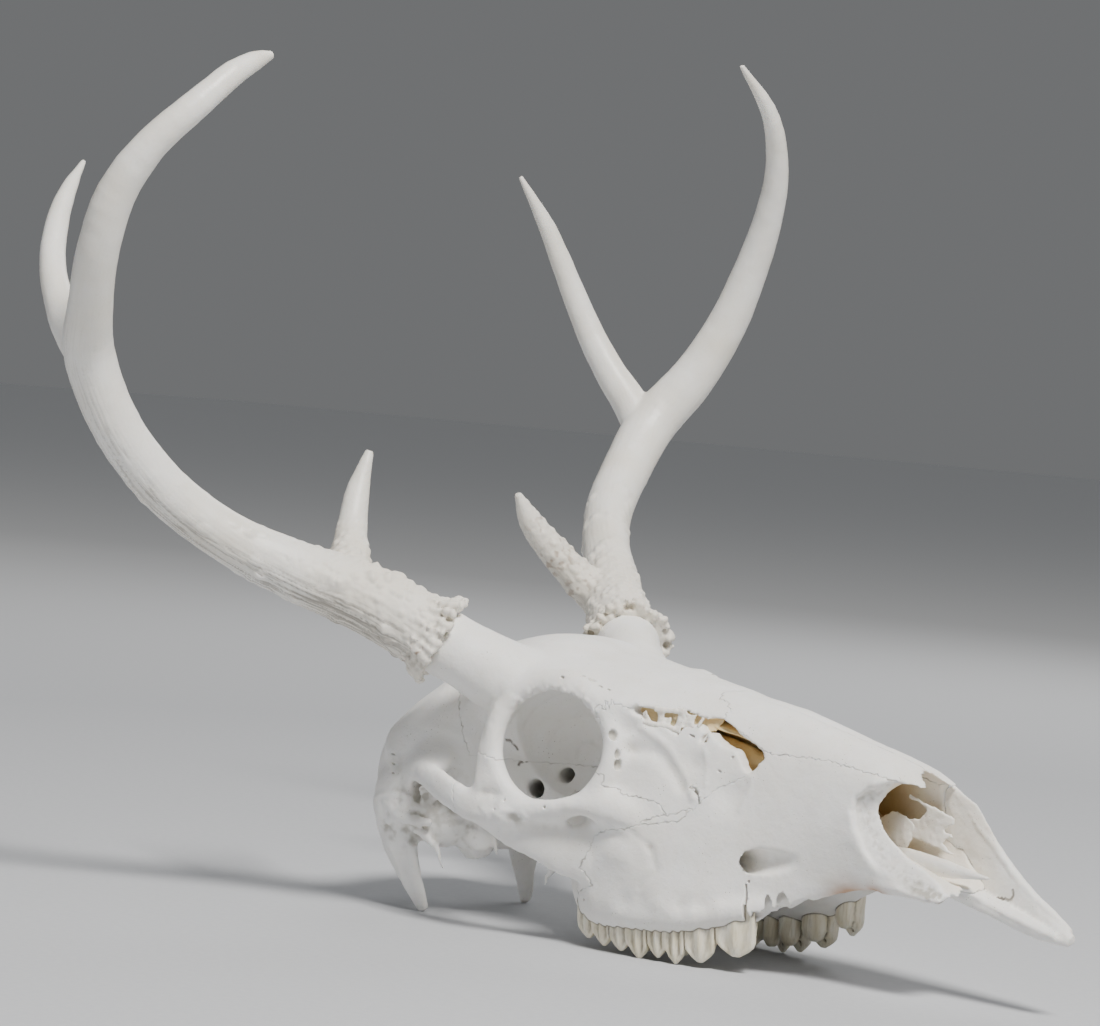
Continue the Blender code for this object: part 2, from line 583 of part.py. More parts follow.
def antler_shape(side):
    """One antler, whole: burr, beam and both tines grown together."""
    bm = bmesh.new()
    rows = ANTLERS[side]
    for length, part_name in ((34, "beam"), (14, "fork_tine"), (10, "brow_tine")):
        tube(bm, [on_side(side, row) for row in rows[part_name]], sides=14, count=length,
             upright=(0.5, 0.2 * side, -0.8))
    start, after = (Vector(on_side(side, row)[:3]) for row in rows["beam"][:2])
    outward = (after - start).normalized()
    across = Vector((0, 0, 1)).cross(outward).normalized()
    rise = outward.cross(across)
    rings = []
    for turn in turns(36):
        spoke = across * math.cos(turn) + rise * math.sin(turn)
        knob = 1.0 + 0.05 * math.sin(9 * turn) + 0.03 * math.sin(14 * turn + 1.0)
        middle = start + outward * 2.5 + spoke * (BURR_RADIUS - 4.0) * knob
        rings.append([middle + spoke * math.cos(a) * 4.0 + outward * math.sin(a) * 4.2 for a in turns(8)])
    loft(bm, rings, closed_hoop=True)
    made = to_object(bm, SIDE_NAMES[side] + "_antler")
    return fuse(made, ANTLER_VOXEL, 2, ANTLER_FACES)


def cutting_disc(centre, direction, radius):
    """A thin round plate that parts a branch from its beam."""
    bm = bmesh.new()
    turn = Vector(direction).to_track_quat("Z", "Y").to_matrix().to_4x4()
    bmesh.ops.create_cone(bm, cap_ends=True, segments=24, radius1=radius, radius2=radius, depth=SEAM,
                          matrix=Matrix.Translation(Vector(centre)) @ turn)
    return to_object(bm, "cutting_disc")


def islands(body):
    """The separate shells of a body, each as a new mesh, with its middle in millimetres."""
    found = []
    source = bmesh.new()
    source.from_mesh(body.data)
    waiting = set(source.verts)
    while waiting:
        shell = {waiting.pop()}
        front = list(shell)
        while front:
            near = [edge.other_vert(vertex) for vertex in front for edge in vertex.link_edges]
            front = [vertex for vertex in set(near) if vertex in waiting]
            waiting.difference_update(front)
            shell.update(front)
        found.append({vertex.index for vertex in shell})
    source.free()
    parts = []
    for members in found:
        piece = bmesh.new()
        piece.from_mesh(body.data)
        piece.verts.ensure_lookup_table()
        bmesh.ops.delete(piece, geom=[v for v in piece.verts if v.index not in members], context="VERTS")
        middle = sum((v.co for v in piece.verts), Vector()) / (len(piece.verts) * MM)
        mesh = bpy.data.meshes.new(body.name)
        piece.to_mesh(mesh)
        parts.append((abs(piece.calc_volume()), middle, mesh))
        piece.free()
    return sorted(parts, key=lambda part: -part[0])


def split_antler(side, antler):
    """Part the antler at its brow tine and at its main fork."""
    rows = ANTLERS[side]
    cuts = ((rows["brow_cut"], rows["brow_tine"][0], rows["brow_tine"][2], 13.0),
            (rows["fork_cuts"][0], rows["beam"][6], rows["beam"][8], 14.0),
            (rows["fork_cuts"][1], rows["fork_tine"][0], rows["fork_tine"][3], 12.0))
    for centre, before, beyond, radius in cuts:
        direction = Vector(on_side(side, beyond)[:3]) - Vector(on_side(side, before)[:3])
        boolean(antler, cutting_disc(on_side(side, centre), direction, radius), "DIFFERENCE")
    homes = {"lower_beam": rows["beam"][3], "upper_beam": rows["beam"][10], "fork_tine": rows["fork_tine"][4],
             "brow_tine": rows["brow_tine"][3]}
    pieces = {}
    for volume, middle, mesh in islands(antler)[:4]:
        home = min(homes, key=lambda name: (Vector(on_side(side, homes[name])[:3]) - middle).length)
        made = bpy.data.objects.new(SIDE_NAMES[side] + "_" + home, mesh)
        bpy.context.scene.collection.objects.link(made)
        pieces[home] = made
        homes.pop(home)
    bpy.data.objects.remove(antler, do_unlink=True)
    return pieces


# ---------------------------------------------------------------- seams between the skull's bones
# Each outline is (x, z), seen from the side; the bone is what lies inside it between two values of y.
NOSE_BONE = ((-20, 66.0), (-50.0, 68.4), (-57.0, 70.4), (-80, 74.0), (-104, 75.6), (-113, 79.5),
             (-126, 84.2), (-127, 90.0), (-136, 95.0), (-138, 110.0), (-20, 110.0))
JAW_BONE = ((-15, 71.0), (-57.0, 73.0), (-104, 80.0), (-112, 73.0), (-114.0, 66.5), (-121.5, 54.5),
            (-137, 49.5), (-150, 46.5), (-190, 52.0), (-192, 5.0), (-170, -8.0), (-15, -8.0))
CHEEK_BONE = ((-122.0, 52.4), (-132.4, 50.2), (-143.3, 47.2), (-145.7, 43.7), (-156, 41.6), (-163, 38.0),
              (-165.0, 27.5), (-162.5, 21.8), (-172, 18.0), (-186, 22), (-200, 26), (-214, 33), (-220.0, 60.0),
              (-214, 66.0), (-199, 63.0),
              (-160.5, 57.0), (-149.2, 55.5), (-137.8, 54.6), (-132.2, 53.4), (-122.0, 53.4))
TEAR_BONE = ((-120.5, 53.0), (-162.0, 45.0), (-164.5, 66.0), (-164.5, 76.0), (-163.5, 83.9), (-156.0, 84.3),
             (-147.0, 83.0), (-130.0, 81.0), (-117.5, 79.0), (-112.5, 73.5), (-108.5, 69.0), (-109.0, 66.0))
FOREHEAD_BONE = ((-100, 120.0), (-104, 76.0), (-112, 66.0), (-150, 60.0), (-228, 62.0), (-241, 86.0),
                 (-246, 130.0))
# The cheek bone's inner face slants outwards along the arch: y = start + slope * x
CHEEK_INNER_FACE = (-18.0, -0.3)


def bone(skull, name, outline, near_y, far_y, slant=0.0):
    """Take one bone out of the skull, and leave a thin seam round it."""
    bm = bmesh.new()
    slab(bm, outline, near_y, far_y, slant)
    region = to_object(bm, name + "_region")
    wider = grown(region, name + "_cutter", SEAM)
    made = copy_of(skull, name)
    boolean(made, region, "INTERSECT")
    boolean(skull, wider, "DIFFERENCE")
    return made


def tidy_shell(body):
    """Keep the main shell of a bone and melt the slivers that the cuts leave."""
    shells = islands(body)
    body.data = shells[0][2]
    bm = bmesh.new()
    bm.from_mesh(body.data)
    bmesh.ops.remove_doubles(bm, verts=bm.verts, dist=SLIVER * MM)
    bmesh.ops.dissolve_degenerate(bm, dist=SLIVER * MM, edges=bm.edges)
    bmesh.ops.dissolve_limit(bm, angle_limit=FLAT_ENOUGH, verts=bm.verts, edges=bm.edges)
    bmesh.ops.triangulate(bm, faces=bm.faces)
    bm.to_mesh(body.data)
    bm.free()
    for volume, middle, mesh in shells[1:]:
        print(body.name, "dropped", round(volume / MM ** 3, 1), "at", [round(c) for c in middle])
    return body


# ---------------------------------------------------------------- building it all
def build_skull(antlers):
    """The fused skull with its openings, teeth and antler seats, before it is parted."""
    skull = fuse(skull_masses(), BONE_VOXEL, 3, BONE_FACES)
    boolean(skull, nose_cutter(), "DIFFERENCE")
    boolean(skull, base_openings(), "DIFFERENCE")
    for side in (RIGHT, LEFT):
        boolean(skull, front_cutter(side), "DIFFERENCE")
        boolean(skull, socket_cutter(side), "DIFFERENCE")
        boolean(skull, window_cutter(side), "DIFFERENCE")
        boolean(skull, small_openings(side), "DIFFERENCE")
        boolean(skull, tooth_row(side, "teeth"), "UNION")
        boolean(skull, grown(antlers[side], "burr_seat", SEAM), "DIFFERENCE")
    return skull


def part_skull(skull):
    """Part the skull into its bones, outermost first; the braincase is what is left."""
    bones = []
    for side in (RIGHT, LEFT):
        name = SIDE_NAMES[side]
        start, slope = (side * value for value in CHEEK_INNER_FACE)
        bones.append(bone(skull, name + "_cheek_bone", CHEEK_BONE, start, 75.0 * side, slope))
        bones.append(bone(skull, name + "_tear_bone", TEAR_BONE, 20.0 * side, 60.0 * side))
        bones.append(bone(skull, name + "_nose_bone", NOSE_BONE, SEAM / 2 * side, 30.0 * side))
        bones.append(bone(skull, name + "_jaw_bone", JAW_BONE, SEAM / 2 * side, 60.0 * side))
        bones.append(bone(skull, name + "_forehead_bone", FOREHEAD_BONE, SEAM / 2 * side, 80.0 * side))
    skull.name = "braincase"
    return bones + [skull]


def bodies_named(bodies, ending):
    return [body for body in bodies if body.name.endswith(ending)]


def trimmed(body, neighbours):
    """Trim a thin bone back from the bones that it meets."""
    for neighbour in neighbours:
        boolean(body, grown(neighbour, "trim", SEAM), "DIFFERENCE")
    return body


def paint(body):
    """Give a body its own plain finish."""
    antler = any(word in body.name for word in ("beam", "tine"))
    finish = bpy.data.materials.new(body.name + "_finish")
    finish.use_nodes = True
    shader = finish.node_tree.nodes["Principled BSDF"]
    shader.inputs["Base Color"].default_value = ANTLER_COLOUR if antler else BONE_COLOUR
    shader.inputs["Roughness"].default_value = 0.5
    body.data.materials.append(finish)
    body.data.shade_smooth()


def lay_down(bodies):
    """Turn the skull onto its molars and ear processes, and set it over the origin."""
    (molar_x, molar_z), (process_x, process_z) = GRINDING_TIP, PROCESS_TIP
    lean = math.atan2(molar_z - process_z, molar_x - process_x)
    turn = Matrix.Rotation(lean, 4, "Y")
    table = (turn @ Vector((molar_x, 0.0, molar_z))).z + WORN_FLAT
    for body in bodies:
        body.data.transform(turn)
    corners = numpy.array([vertex.co for body in bodies for vertex in body.data.vertices]) / MM
    low, high = corners.min(axis=0), corners.max(axis=0)
    shift = Vector((-(low[0] + high[0]) / 2, -(low[1] + high[1]) / 2, -table))
    for body in bodies:
        if min(vertex.co.z for vertex in body.data.vertices) < table * MM:
            bm = bmesh.new()
            bmesh.ops.create_cube(bm, size=1.0)
            bmesh.ops.scale(bm, vec=(500.0, 500.0, 20.0), verts=bm.verts)
            bmesh.ops.translate(bm, vec=(-shift.x, -shift.y, table - 10.0), verts=bm.verts)
            boolean(body, to_object(bm, "table"), "DIFFERENCE")
        body.data.transform(Matrix.Translation(shift * MM))
    print("leaned by", round(math.degrees(lean), 3), "degrees, then moved by", tuple(shift))


def main():
    antlers = {side: antler_shape(side) for side in (RIGHT, LEFT)}
    skull = build_skull(antlers)
    bodies = part_skull(skull)
    jaws, nose = bodies_named(bodies, "jaw_bone"), bodies_named(bodies, "left_nose_bone")
    vomer = trimmed(vomer_shape(), jaws)
    premaxilla = trimmed(premaxilla_shape(), jaws + nose + [vomer])
    bodies += [vomer, premaxilla]
    for side in (RIGHT, LEFT):
        bodies.extend(split_antler(side, antlers[side]).values())
    for body in bodies:
        tidy_shell(body)
    lay_down(bodies)
    for body in bodies:
        paint(body)
    return bodies


if __name__ == "__main__":
    main()
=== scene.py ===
# %% [markdown]
# A white-tailed buck's skull
#
# The bleached skull of a deer, with both antlers and without its lower jaw, as a museum lays it on
# a shelf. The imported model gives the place, the size and the plain shapes. This script makes the
# surfaces that the eye sees: bone with its seams, pits and nerve holes, teeth with their folds,
# pearled and furrowed antlers, and the thin scrolls inside the nose.

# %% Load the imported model
import math

import bmesh
import bpy
import numpy
from mathutils import Matrix, Vector, noise
from mathutils.bvhtree import BVHTree
from mathutils.kdtree import KDTree


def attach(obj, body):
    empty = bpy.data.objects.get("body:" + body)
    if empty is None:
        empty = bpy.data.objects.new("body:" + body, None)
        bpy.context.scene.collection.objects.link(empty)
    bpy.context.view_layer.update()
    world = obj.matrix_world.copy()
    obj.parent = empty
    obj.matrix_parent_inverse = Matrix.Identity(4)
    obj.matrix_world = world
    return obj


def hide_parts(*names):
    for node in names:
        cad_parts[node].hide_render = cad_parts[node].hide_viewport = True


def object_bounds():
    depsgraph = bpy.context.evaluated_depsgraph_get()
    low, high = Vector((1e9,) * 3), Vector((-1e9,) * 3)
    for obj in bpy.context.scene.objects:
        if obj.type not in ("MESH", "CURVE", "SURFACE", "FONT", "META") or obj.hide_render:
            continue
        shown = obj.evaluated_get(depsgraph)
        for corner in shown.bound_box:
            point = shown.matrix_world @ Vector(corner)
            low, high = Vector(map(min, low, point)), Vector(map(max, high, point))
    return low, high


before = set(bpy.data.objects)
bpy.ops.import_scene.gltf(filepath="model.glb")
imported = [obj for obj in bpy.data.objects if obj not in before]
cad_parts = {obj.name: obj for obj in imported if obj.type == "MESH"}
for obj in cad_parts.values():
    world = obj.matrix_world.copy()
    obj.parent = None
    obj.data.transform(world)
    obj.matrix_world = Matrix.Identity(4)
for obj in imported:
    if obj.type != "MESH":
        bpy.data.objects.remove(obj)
CAD_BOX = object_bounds()
print("packed box in mm", [round(1000 * (high - low), 1) for low, high in zip(*CAD_BOX)])

# %% [markdown]
# One frame for all the shapes
#
# The bones are easiest to describe in millimetres along the animal: x grows towards the nose,
# y towards its left, z upwards. The skull then leans a little, until the grinding teeth and the
# processes behind the ears touch the shelf, and moves over the origin. The same lean and move
# serve every piece and the camera.

# %% Driving sizes and the resting place
MM = 0.001
RIGHT, LEFT = -1, 1
FORWARDS, SIDEWAYS, UPWARDS = (1.0, 0.0, 0.0), (0.0, 1.0, 0.0), (0.0, 0.0, 1.0)
SIDE_NAMES = {RIGHT: "right", LEFT: "left"}
GRAIN = 0.85          # voxel of the fused bone, mm
ANTLER_GRAIN = 0.65
TOOTH_GRAIN = 0.38
GAP = 0.07                                   # seam between two bones, mm
REST_LEAN = math.radians(-1.5829)
REST_MOVE = Vector((179.1848, 0.1376, 6.3109))
REST = Matrix.Translation(REST_MOVE * MM) @ Matrix.Rotation(REST_LEAN, 4, "Y")


def smooth_row(stations, place):
    """Read a table of stations (place, size, size, ...) along a smooth curve."""
    table = numpy.array(sorted(stations), dtype=float)
    places = table[:, 0]
    place = min(max(place, places[0]), places[-1])
    slopes = numpy.gradient(table, places, axis=0)
    after = int(numpy.clip(numpy.searchsorted(places, place), 1, len(places) - 1))
    start, end = table[after - 1], table[after]
    span = places[after] - places[after - 1]
    t = (place - places[after - 1]) / span
    value = (start * (1 + 2 * t) * (1 - t) ** 2 + slopes[after - 1] * span * t * (1 - t) ** 2
             + end * t * t * (3 - 2 * t) + slopes[after] * span * t * t * (t - 1))
    return value[1:]


def along(points, count):
    """Rows at even steps along a smooth curve through (x, y, z, size, ...)."""
    table = numpy.array(points, dtype=float)
    steps = numpy.linalg.norm(numpy.diff(table[:, :3], axis=0), axis=1)
    run = numpy.concatenate([[0.0], numpy.cumsum(steps)])
    stations = [(run[i], *table[i]) for i in range(len(table))]
    return [smooth_row(stations, run[-1] * i / (count - 1)) for i in range(count)]


def on_side(side, point):
    """A place given for the animal's left, moved to the asked side."""
    return (point[0], point[1] * side, *point[2:])


def rows_on(side, rows):
    """A whole table of places, moved to the asked side."""
    return [on_side(side, row) for row in rows]


def turns(count):
    """Even steps round a full turn, in radians."""
    return [2 * math.pi * k / count for k in range(count)]


print("shelf height in the skull's own frame, mm:", round(-REST_MOVE.z, 2))

# %% [markdown]
# Lofts, tubes and balls
#
# A bone is a swelling, bending form, so the masses are lofts: circles from bmesh, moved to the
# outline of each cross-section and bridged. A tube is a loft along a curve, and a ball is a
# stretched sphere. Overlapping masses are fused later by a voxel remesh, which leaves one skin.


# %% Rings and lofts
def ring_curve(corners, steps):
    """A smooth closed ring through its corners, with the same steps between each two."""
    ring = []
    total = len(corners)
    for i in range(total):
        before, here, after, beyond = (numpy.array(corners[(i + k) % total])
                                       for k in (-1, 0, 1, 2))
        for s in range(steps):
            t = s / steps
            ring.append(0.5 * (2 * here + (after - before) * t
                               + (2 * before - 5 * here + 4 * after - beyond) * t * t
                               + (3 * here - before - 3 * after + beyond) * t ** 3))
    return ring


def circle_loop(bm, ring):
    """A closed loop of edges through the points of a ring."""
    circle = bmesh.ops.create_circle(bm, segments=len(ring), radius=1.0)
    for vertex, point in zip(circle["verts"], ring):
        vertex.co = Vector(point)
    return list({edge for vertex in circle["verts"] for edge in vertex.link_edges})


def loft(bm, rings, closed_hoop=False):
    """Bridge rings into a body with capped ends, or into a closed hoop."""
    loops = [circle_loop(bm, ring) for ring in rings]
    for here, after in zip(loops, loops[1:]):
        bmesh.ops.bridge_loops(bm, edges=here + after)
    if closed_hoop:
        bmesh.ops.bridge_loops(bm, edges=loops[-1] + loops[0])
    else:
        bmesh.ops.holes_fill(bm, edges=loops[0], sides=0)
        bmesh.ops.holes_fill(bm, edges=loops[-1], sides=0)


print("points on a smooth square",
      len(ring_curve([(0, 0), (1, 0), (1, 1), (0, 1)], 6)))


# %% Tubes, balls and slabs
def tube(bm, points, sides=12, count=12, upright=UPWARDS):
    """A tapering tube through (x, y, z, half width, half height)."""
    rows = along([(*p, p[3]) if len(p) == 4 else p for p in points], count)
    rings = []
    for i, row in enumerate(rows):
        forward = Vector(rows[min(i + 1, count - 1)][:3] - rows[max(i - 1, 0)][:3]).normalized()
        side = Vector(upright).cross(forward).normalized()
        rise = forward.cross(side).normalized()
        centre = Vector(row[:3])
        across, upwards = side * row[3], rise * row[4]
        rings.append([centre + across * math.cos(a) + upwards * math.sin(a) for a in turns(sides)])
    loft(bm, rings)


def ball(bm, centre, sizes, tilt=(0.0, 0.0, 0.0), segments=16):
    """An egg shape with three half sizes, turned by degrees about x, y and z."""
    turn = Matrix.LocRotScale(None, None, Vector(sizes))
    for axis, degrees in zip("XYZ", tilt):
        turn = Matrix.Rotation(math.radians(degrees), 4, axis) @ turn
    bmesh.ops.create_uvsphere(bm, u_segments=segments, v_segments=max(6, segments * 3 // 4),
                              radius=1.0, matrix=Matrix.Translation(Vector(centre)) @ turn)


def balls(bm, side, rows):
    """Egg shapes on one side, from rows of place, half sizes, tilt and segments."""
    for centre, sizes, (roll, pitch, yaw), segments in rows:
        ball(bm, on_side(side, centre), sizes, (roll * side, pitch, yaw * side), segments)


def slab(bm, outline, near_y, far_y, slant=0.0):
    """A plate with an outline of (x, z) corners, whose near face may slant along x."""
    near_face = bm.faces.new([bm.verts.new((x, near_y + slant * x, z)) for x, z in outline])
    raised = bmesh.ops.extrude_face_region(bm, geom=[near_face])
    for item in raised["geom"]:
        if isinstance(item, bmesh.types.BMVert):
            item.co.y = far_y


def to_object(bm, name):
    """Turn millimetres into metres and hand the shape over as an object."""
    bmesh.ops.recalc_face_normals(bm, faces=bm.faces)
    bmesh.ops.scale(bm, vec=(MM, MM, MM), verts=bm.verts)
    mesh = bpy.data.meshes.new(name)
    bm.to_mesh(mesh)
    bm.free()
    made = bpy.data.objects.new(name, mesh)
    bpy.context.scene.collection.objects.link(made)
    return made


sample = bmesh.new()
tube(sample, [(0, 0, 0, 2.0), (10, 0, 0, 1.0)])
print("faces of a plain tube", len(sample.faces))
sample.free()

# %% [markdown]
# Fusing and cutting
#
# Voxel remesh turns overlapping shapes into one closed skin, and a few rounds of smoothing round
# off the creases where two masses meet, as living bone does. Booleans then cut the openings. The
# manifold solver is used because it is quick on a skin of this many faces.


# %% Fuse, cut and copy
def settle(body):
    """Keep the shape that the modifiers give, and drop the modifiers."""
    bpy.context.view_layer.update()
    evaluated = body.evaluated_get(bpy.context.evaluated_depsgraph_get())
    shape = bpy.data.meshes.new_from_object(evaluated)
    body.modifiers.clear()
    body.data = shape
    return body


def fuse(body, voxel, smoothing):
    """Grow overlapping shapes together into one skin, and soften it."""
    remesh = body.modifiers.new("fuse", "REMESH")
    remesh.mode = "VOXEL"
    remesh.voxel_size = voxel * MM
    soften = body.modifiers.new("soften", "SMOOTH")
    soften.factor = 0.5
    soften.iterations = smoothing
    return settle(body)


def cut(body, cutter, operation="DIFFERENCE"):
    """Take a closed cutter out of the body, or keep only what lies in it."""
    change = body.modifiers.new(operation.lower(), "BOOLEAN")
    change.operation = operation
    change.object = cutter
    change.solver = "MANIFOLD"
    settle(body)
    bpy.data.objects.remove(cutter, do_unlink=True)
    return body


def join(body, other):
    """Put a second object's mesh into the first one, without fusing them."""
    bm = bmesh.new()
    bm.from_mesh(body.data)
    bm.from_mesh(other.data)
    bm.to_mesh(body.data)
    bm.free()
    bpy.data.objects.remove(other, do_unlink=True)
    return body


def copy_of(body, name):
    """A second object with a mesh of its own."""
    made = bpy.data.objects.new(name, body.data.copy())
    bpy.context.scene.collection.objects.link(made)
    return made


def grown(body, name, amount):
    """A copy whose faces all stand further out by the same amount."""
    made = copy_of(body, name)
    bm = bmesh.new()
    bm.from_mesh(made.data)
    shifts = [vertex.normal * vertex.calc_shell_factor() * amount * MM for vertex in bm.verts]
    for vertex, shift in zip(bm.verts, shifts):
        vertex.co += shift
    bm.to_mesh(made.data)
    bm.free()
    return made


print("voxels in mm: bone", GRAIN, "antler", ANTLER_GRAIN, "tooth", TOOTH_GRAIN)

# %% [markdown]
# Crumbs
#
# A cut through thin bone can leave crumbs that hang on nothing, closed bubbles inside the bone,
# and points that lie on top of each other. They would be loose faces in the finished mesh, so each
# piece is cleaned once all its cuts are made.


# %% Clean a cut piece
TOUCHING = 0.001                   # points this near are one point, mm
CRUMB_SHARE = 0.05                 # an island with less than this share of the points is a crumb


def edge_ends(body):
    """The two points of every edge."""
    ends = numpy.empty(len(body.data.edges) * 2, dtype=numpy.int64)
    body.data.edges.foreach_get("vertices", ends)
    return ends.reshape(-1, 2)


def drop_crumbs(body):
    """Merge points that touch, and delete the crumbs."""
    bm = bmesh.new()
    bm.from_mesh(body.data)
    bmesh.ops.remove_doubles(bm, verts=bm.verts, dist=TOUCHING * MM)
    bmesh.ops.triangulate(bm, faces=bm.faces)
    bmesh.ops.dissolve_degenerate(bm, dist=TOUCHING * MM, edges=bm.edges)
    bm.to_mesh(body.data)
    here, there = edge_ends(body).T
    island, lower = None, numpy.arange(len(bm.verts))
    while island is None or (lower != island).any():
        island, lower = lower, lower.copy()
        numpy.minimum.at(lower, here, island[there])
        numpy.minimum.at(lower, there, island[here])
        lower = lower[lower]
    sizes = numpy.bincount(island)[island]
    crumbs = [vertex for vertex, size in zip(bm.verts, sizes) if size < CRUMB_SHARE * len(sizes)]
    bmesh.ops.delete(bm, geom=crumbs, context="VERTS")
    bm.to_mesh(body.data)
    bm.free()
    return body


print("a crumb has less than", CRUMB_SHARE, "of the points of its piece")

# %% [markdown]
# The masses of the skull
#
# Each table holds cross-sections of one mass, from front to back. They carry the same sizes as the
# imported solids. The eye ring, cheek arch, antler stalk and ear region are added on both sides.

# %% Tables of the muzzle, forehead and braincase
# Muzzle: place, roof height, crown edge (y, z), upper wall (y, z), cheek (y, z), gum (y, z), floor
MUZZLE = (
    (-28, 65, 8.5, 63, 14.5, 56, 15.5, 46, 12.0, 34, 34),
    (-55, 75.0, 10.0, 73.6, 17.0, 66, 19.0, 52, 15.0, 33, 34),
    (-80, 81.8, 11.5, 80, 19.0, 71, 22.0, 51, 17.5, 27, 31),
    (-104, 88.4, 13.0, 86, 22.5, 72, 26.0, 44, 26.5, 16, 27),
    (-128, 92.6, 19.0, 89, 28.0, 74, 35.0, 40, 35.5, 10.2, 24),
    (-150, 97.2, 26.0, 92, 34.0, 76, 40.5, 38, 38.0, 8.8, 22),
    (-168, 98.6, 28.0, 91, 34.0, 76, 38.5, 38, 37.0, 9.6, 23),
    (-177, 99.0, 24.0, 90, 28.0, 76, 31.0, 38, 32.0, 13.5, 25),
    (-188, 99.0, 22.0, 90, 22.0, 76, 24.0, 42, 24.0, 26, 28),
)
# Forehead: place, roof height, shoulder (y, z), rim (y, z), wall (y, z), floor
FOREHEAD = (
    (-140, 95.8, 16, 93, 26, 86, 20, 70, 62),
    (-155, 98.2, 22, 95, 37, 86, 26, 68, 55),
    (-170, 99.6, 25, 97, 43, 88, 30, 66, 48),
    (-186, 103.0, 26, 100, 45.5, 91.5, 30, 66, 40),
    (-200, 106.4, 26, 104, 45, 91, 30, 64, 38),
    (-214, 107.6, 25, 104, 40, 90, 30, 64, 38),
    (-232, 104.0, 22, 100, 33, 86, 30, 62, 38),
)
# Braincase: place, half width, low, high, height of its widest line
BRAINCASE = (
    (-196, 22, 34, 96, 66),
    (-210, 30, 31, 100, 64),
    (-226, 35.5, 28, 103, 62),
    (-242, 37.5, 26, 100, 60),
    (-256, 39.0, 25, 92, 58),
    (-266, 40.0, 25, 83, 56),
    (-273, 36.5, 26, 75, 50),
    (-279, 24.0, 30, 64, 46),
)
# Skull base: place, half width, low, high
BASE = (
    (-158, 17, 22, 60),
    (-180, 14, 27, 60),
    (-205, 15, 29, 60),
    (-230, 16, 25, 60),
    (-262, 17, 23, 50),
    (-280, 13, 25, 50),
)
print("stations: muzzle", len(MUZZLE), "forehead", len(FOREHEAD),
      "braincase", len(BRAINCASE))

# %% Tables of the cheek arch, ear region and spikes
# Cheek arch, front to back: x, y, z, half thickness, half height
CHEEK_ARCH = (
    (-146, 33.0, 46.0, 7.0, 9.0),
    (-158, 41.5, 50.0, 4.8, 6.2),
    (-170, 46.0, 50.0, 3.8, 3.4),
    (-182, 49.6, 47.6, 3.8, 3.6),
    (-192, 52.0, 45.0, 4.0, 5.4),
    (-206, 53.8, 44.6, 3.6, 6.0),
    (-220, 52.6, 48.2, 3.2, 5.8),
    (-232, 48.8, 51.6, 3.4, 6.0),
    (-244, 42.0, 54.5, 5.5, 5.2),
    (-252, 36.0, 52.0, 7.0, 8.0),
)
CHEEK_WEB = (
    (-208, 51.5, 42.5, 2.4, 3.6), (-197, 48.6, 38.6, 2.6, 6.6), (-186, 44.6, 36.0, 3.0, 8.4),
    (-176, 41.0, 33.0, 3.4, 10.0), (-166, 38.0, 32.0, 4.0, 11.0),
)
GUM_RIDGE = (
    (-97, 23.6, 22.0, 2.6, 3.4), (-104, 26.4, 19.6, 3.4, 4.0), (-114, 29.4, 17.2, 3.8, 4.2),
    (-126, 33.0, 14.4, 4.0, 4.2), (-140, 35.4, 13.2, 4.0, 4.0), (-157, 36.2, 13.4, 4.0, 4.0),
    (-170, 34.8, 14.8, 3.6, 4.0),
)
BAR = ((-200, 43.5, 86, 4.5, 5.5), (-206.5, 47.5, 76, 3.4, 4.2), (-207.5, 50.5, 64, 3.2, 4.0),
       (-204, 52.8, 52, 3.6, 6.5))
PARACONDYLAR = (
    (-262, 38.0, 38, 4.2, 9.2), (-259.6, 36.2, 26, 3.6, 8.8), (-254.8, 32.6, 11, 2.8, 5.2),
    (-250.8, 29.6, 0.6, 2.2, 2.9),
)
EAR_TUBE = ((-248, 26, 35, 5, 5), (-251, 36, 40, 4.2, 4.6), (-254, 43, 42, 4.0, 4.4))
RIM_FOOT = ((-64, 14.2, 33.4, 1.8, 2.2), (-54, 14.4, 33.0, 2.6, 3.0), (-45, 14.3, 33.0, 3.0, 3.2),
            (-36, 13.8, 32.2, 3.2, 3.2), (-31.4, 13.4, 31.4, 2.8, 2.6))
HAMULUS = ((-180, 10.5, 42, 2.0, 9.0), (-194, 11.5, 32, 1.7, 6.4), (-202.5, 12.6, 24, 1.4, 4.0),
           (-205.5, 13.2, 18.5, 1.2, 2.4), (-207.6, 13.4, 13.5, 0.9, 1.0))
# Thin bars and spikes round the ear
EAR_BAR = (
    (-257, 40.0, 37.6, 2.4, 2.4), (-252.8, 41.2, 36.4, 2.3, 2.3), (-247.5, 40.0, 35.4, 2.0, 2.0),
    (-242.5, 38.0, 35.2, 1.6, 1.6),
)
LOWER_EAR_BAR = ((-257, 37.0, 33.0, 2.0, 2.0), (-250.7, 37.4, 32.2, 1.8, 1.8),
                 (-246.8, 37.0, 30.0, 1.7, 1.7), (-243.2, 35.4, 26.6, 1.4, 1.4))
STYLOID = (
    (-246, 33, 29, 2.0, 2.2), (-242.2, 34.2, 24.6, 1.2, 1.2), (-240.4, 34.5, 21.4, 0.7, 0.7),
    (-238.2, 34.8, 18.2, 0.45, 0.45),
)
INNER_STYLOID = ((-230, 19, 36, 1.6, 2.6), (-227, 20, 30, 1.1, 1.5), (-225.2, 20, 24.4, 0.5, 0.5))
print("stations of the cheek arch", len(CHEEK_ARCH))

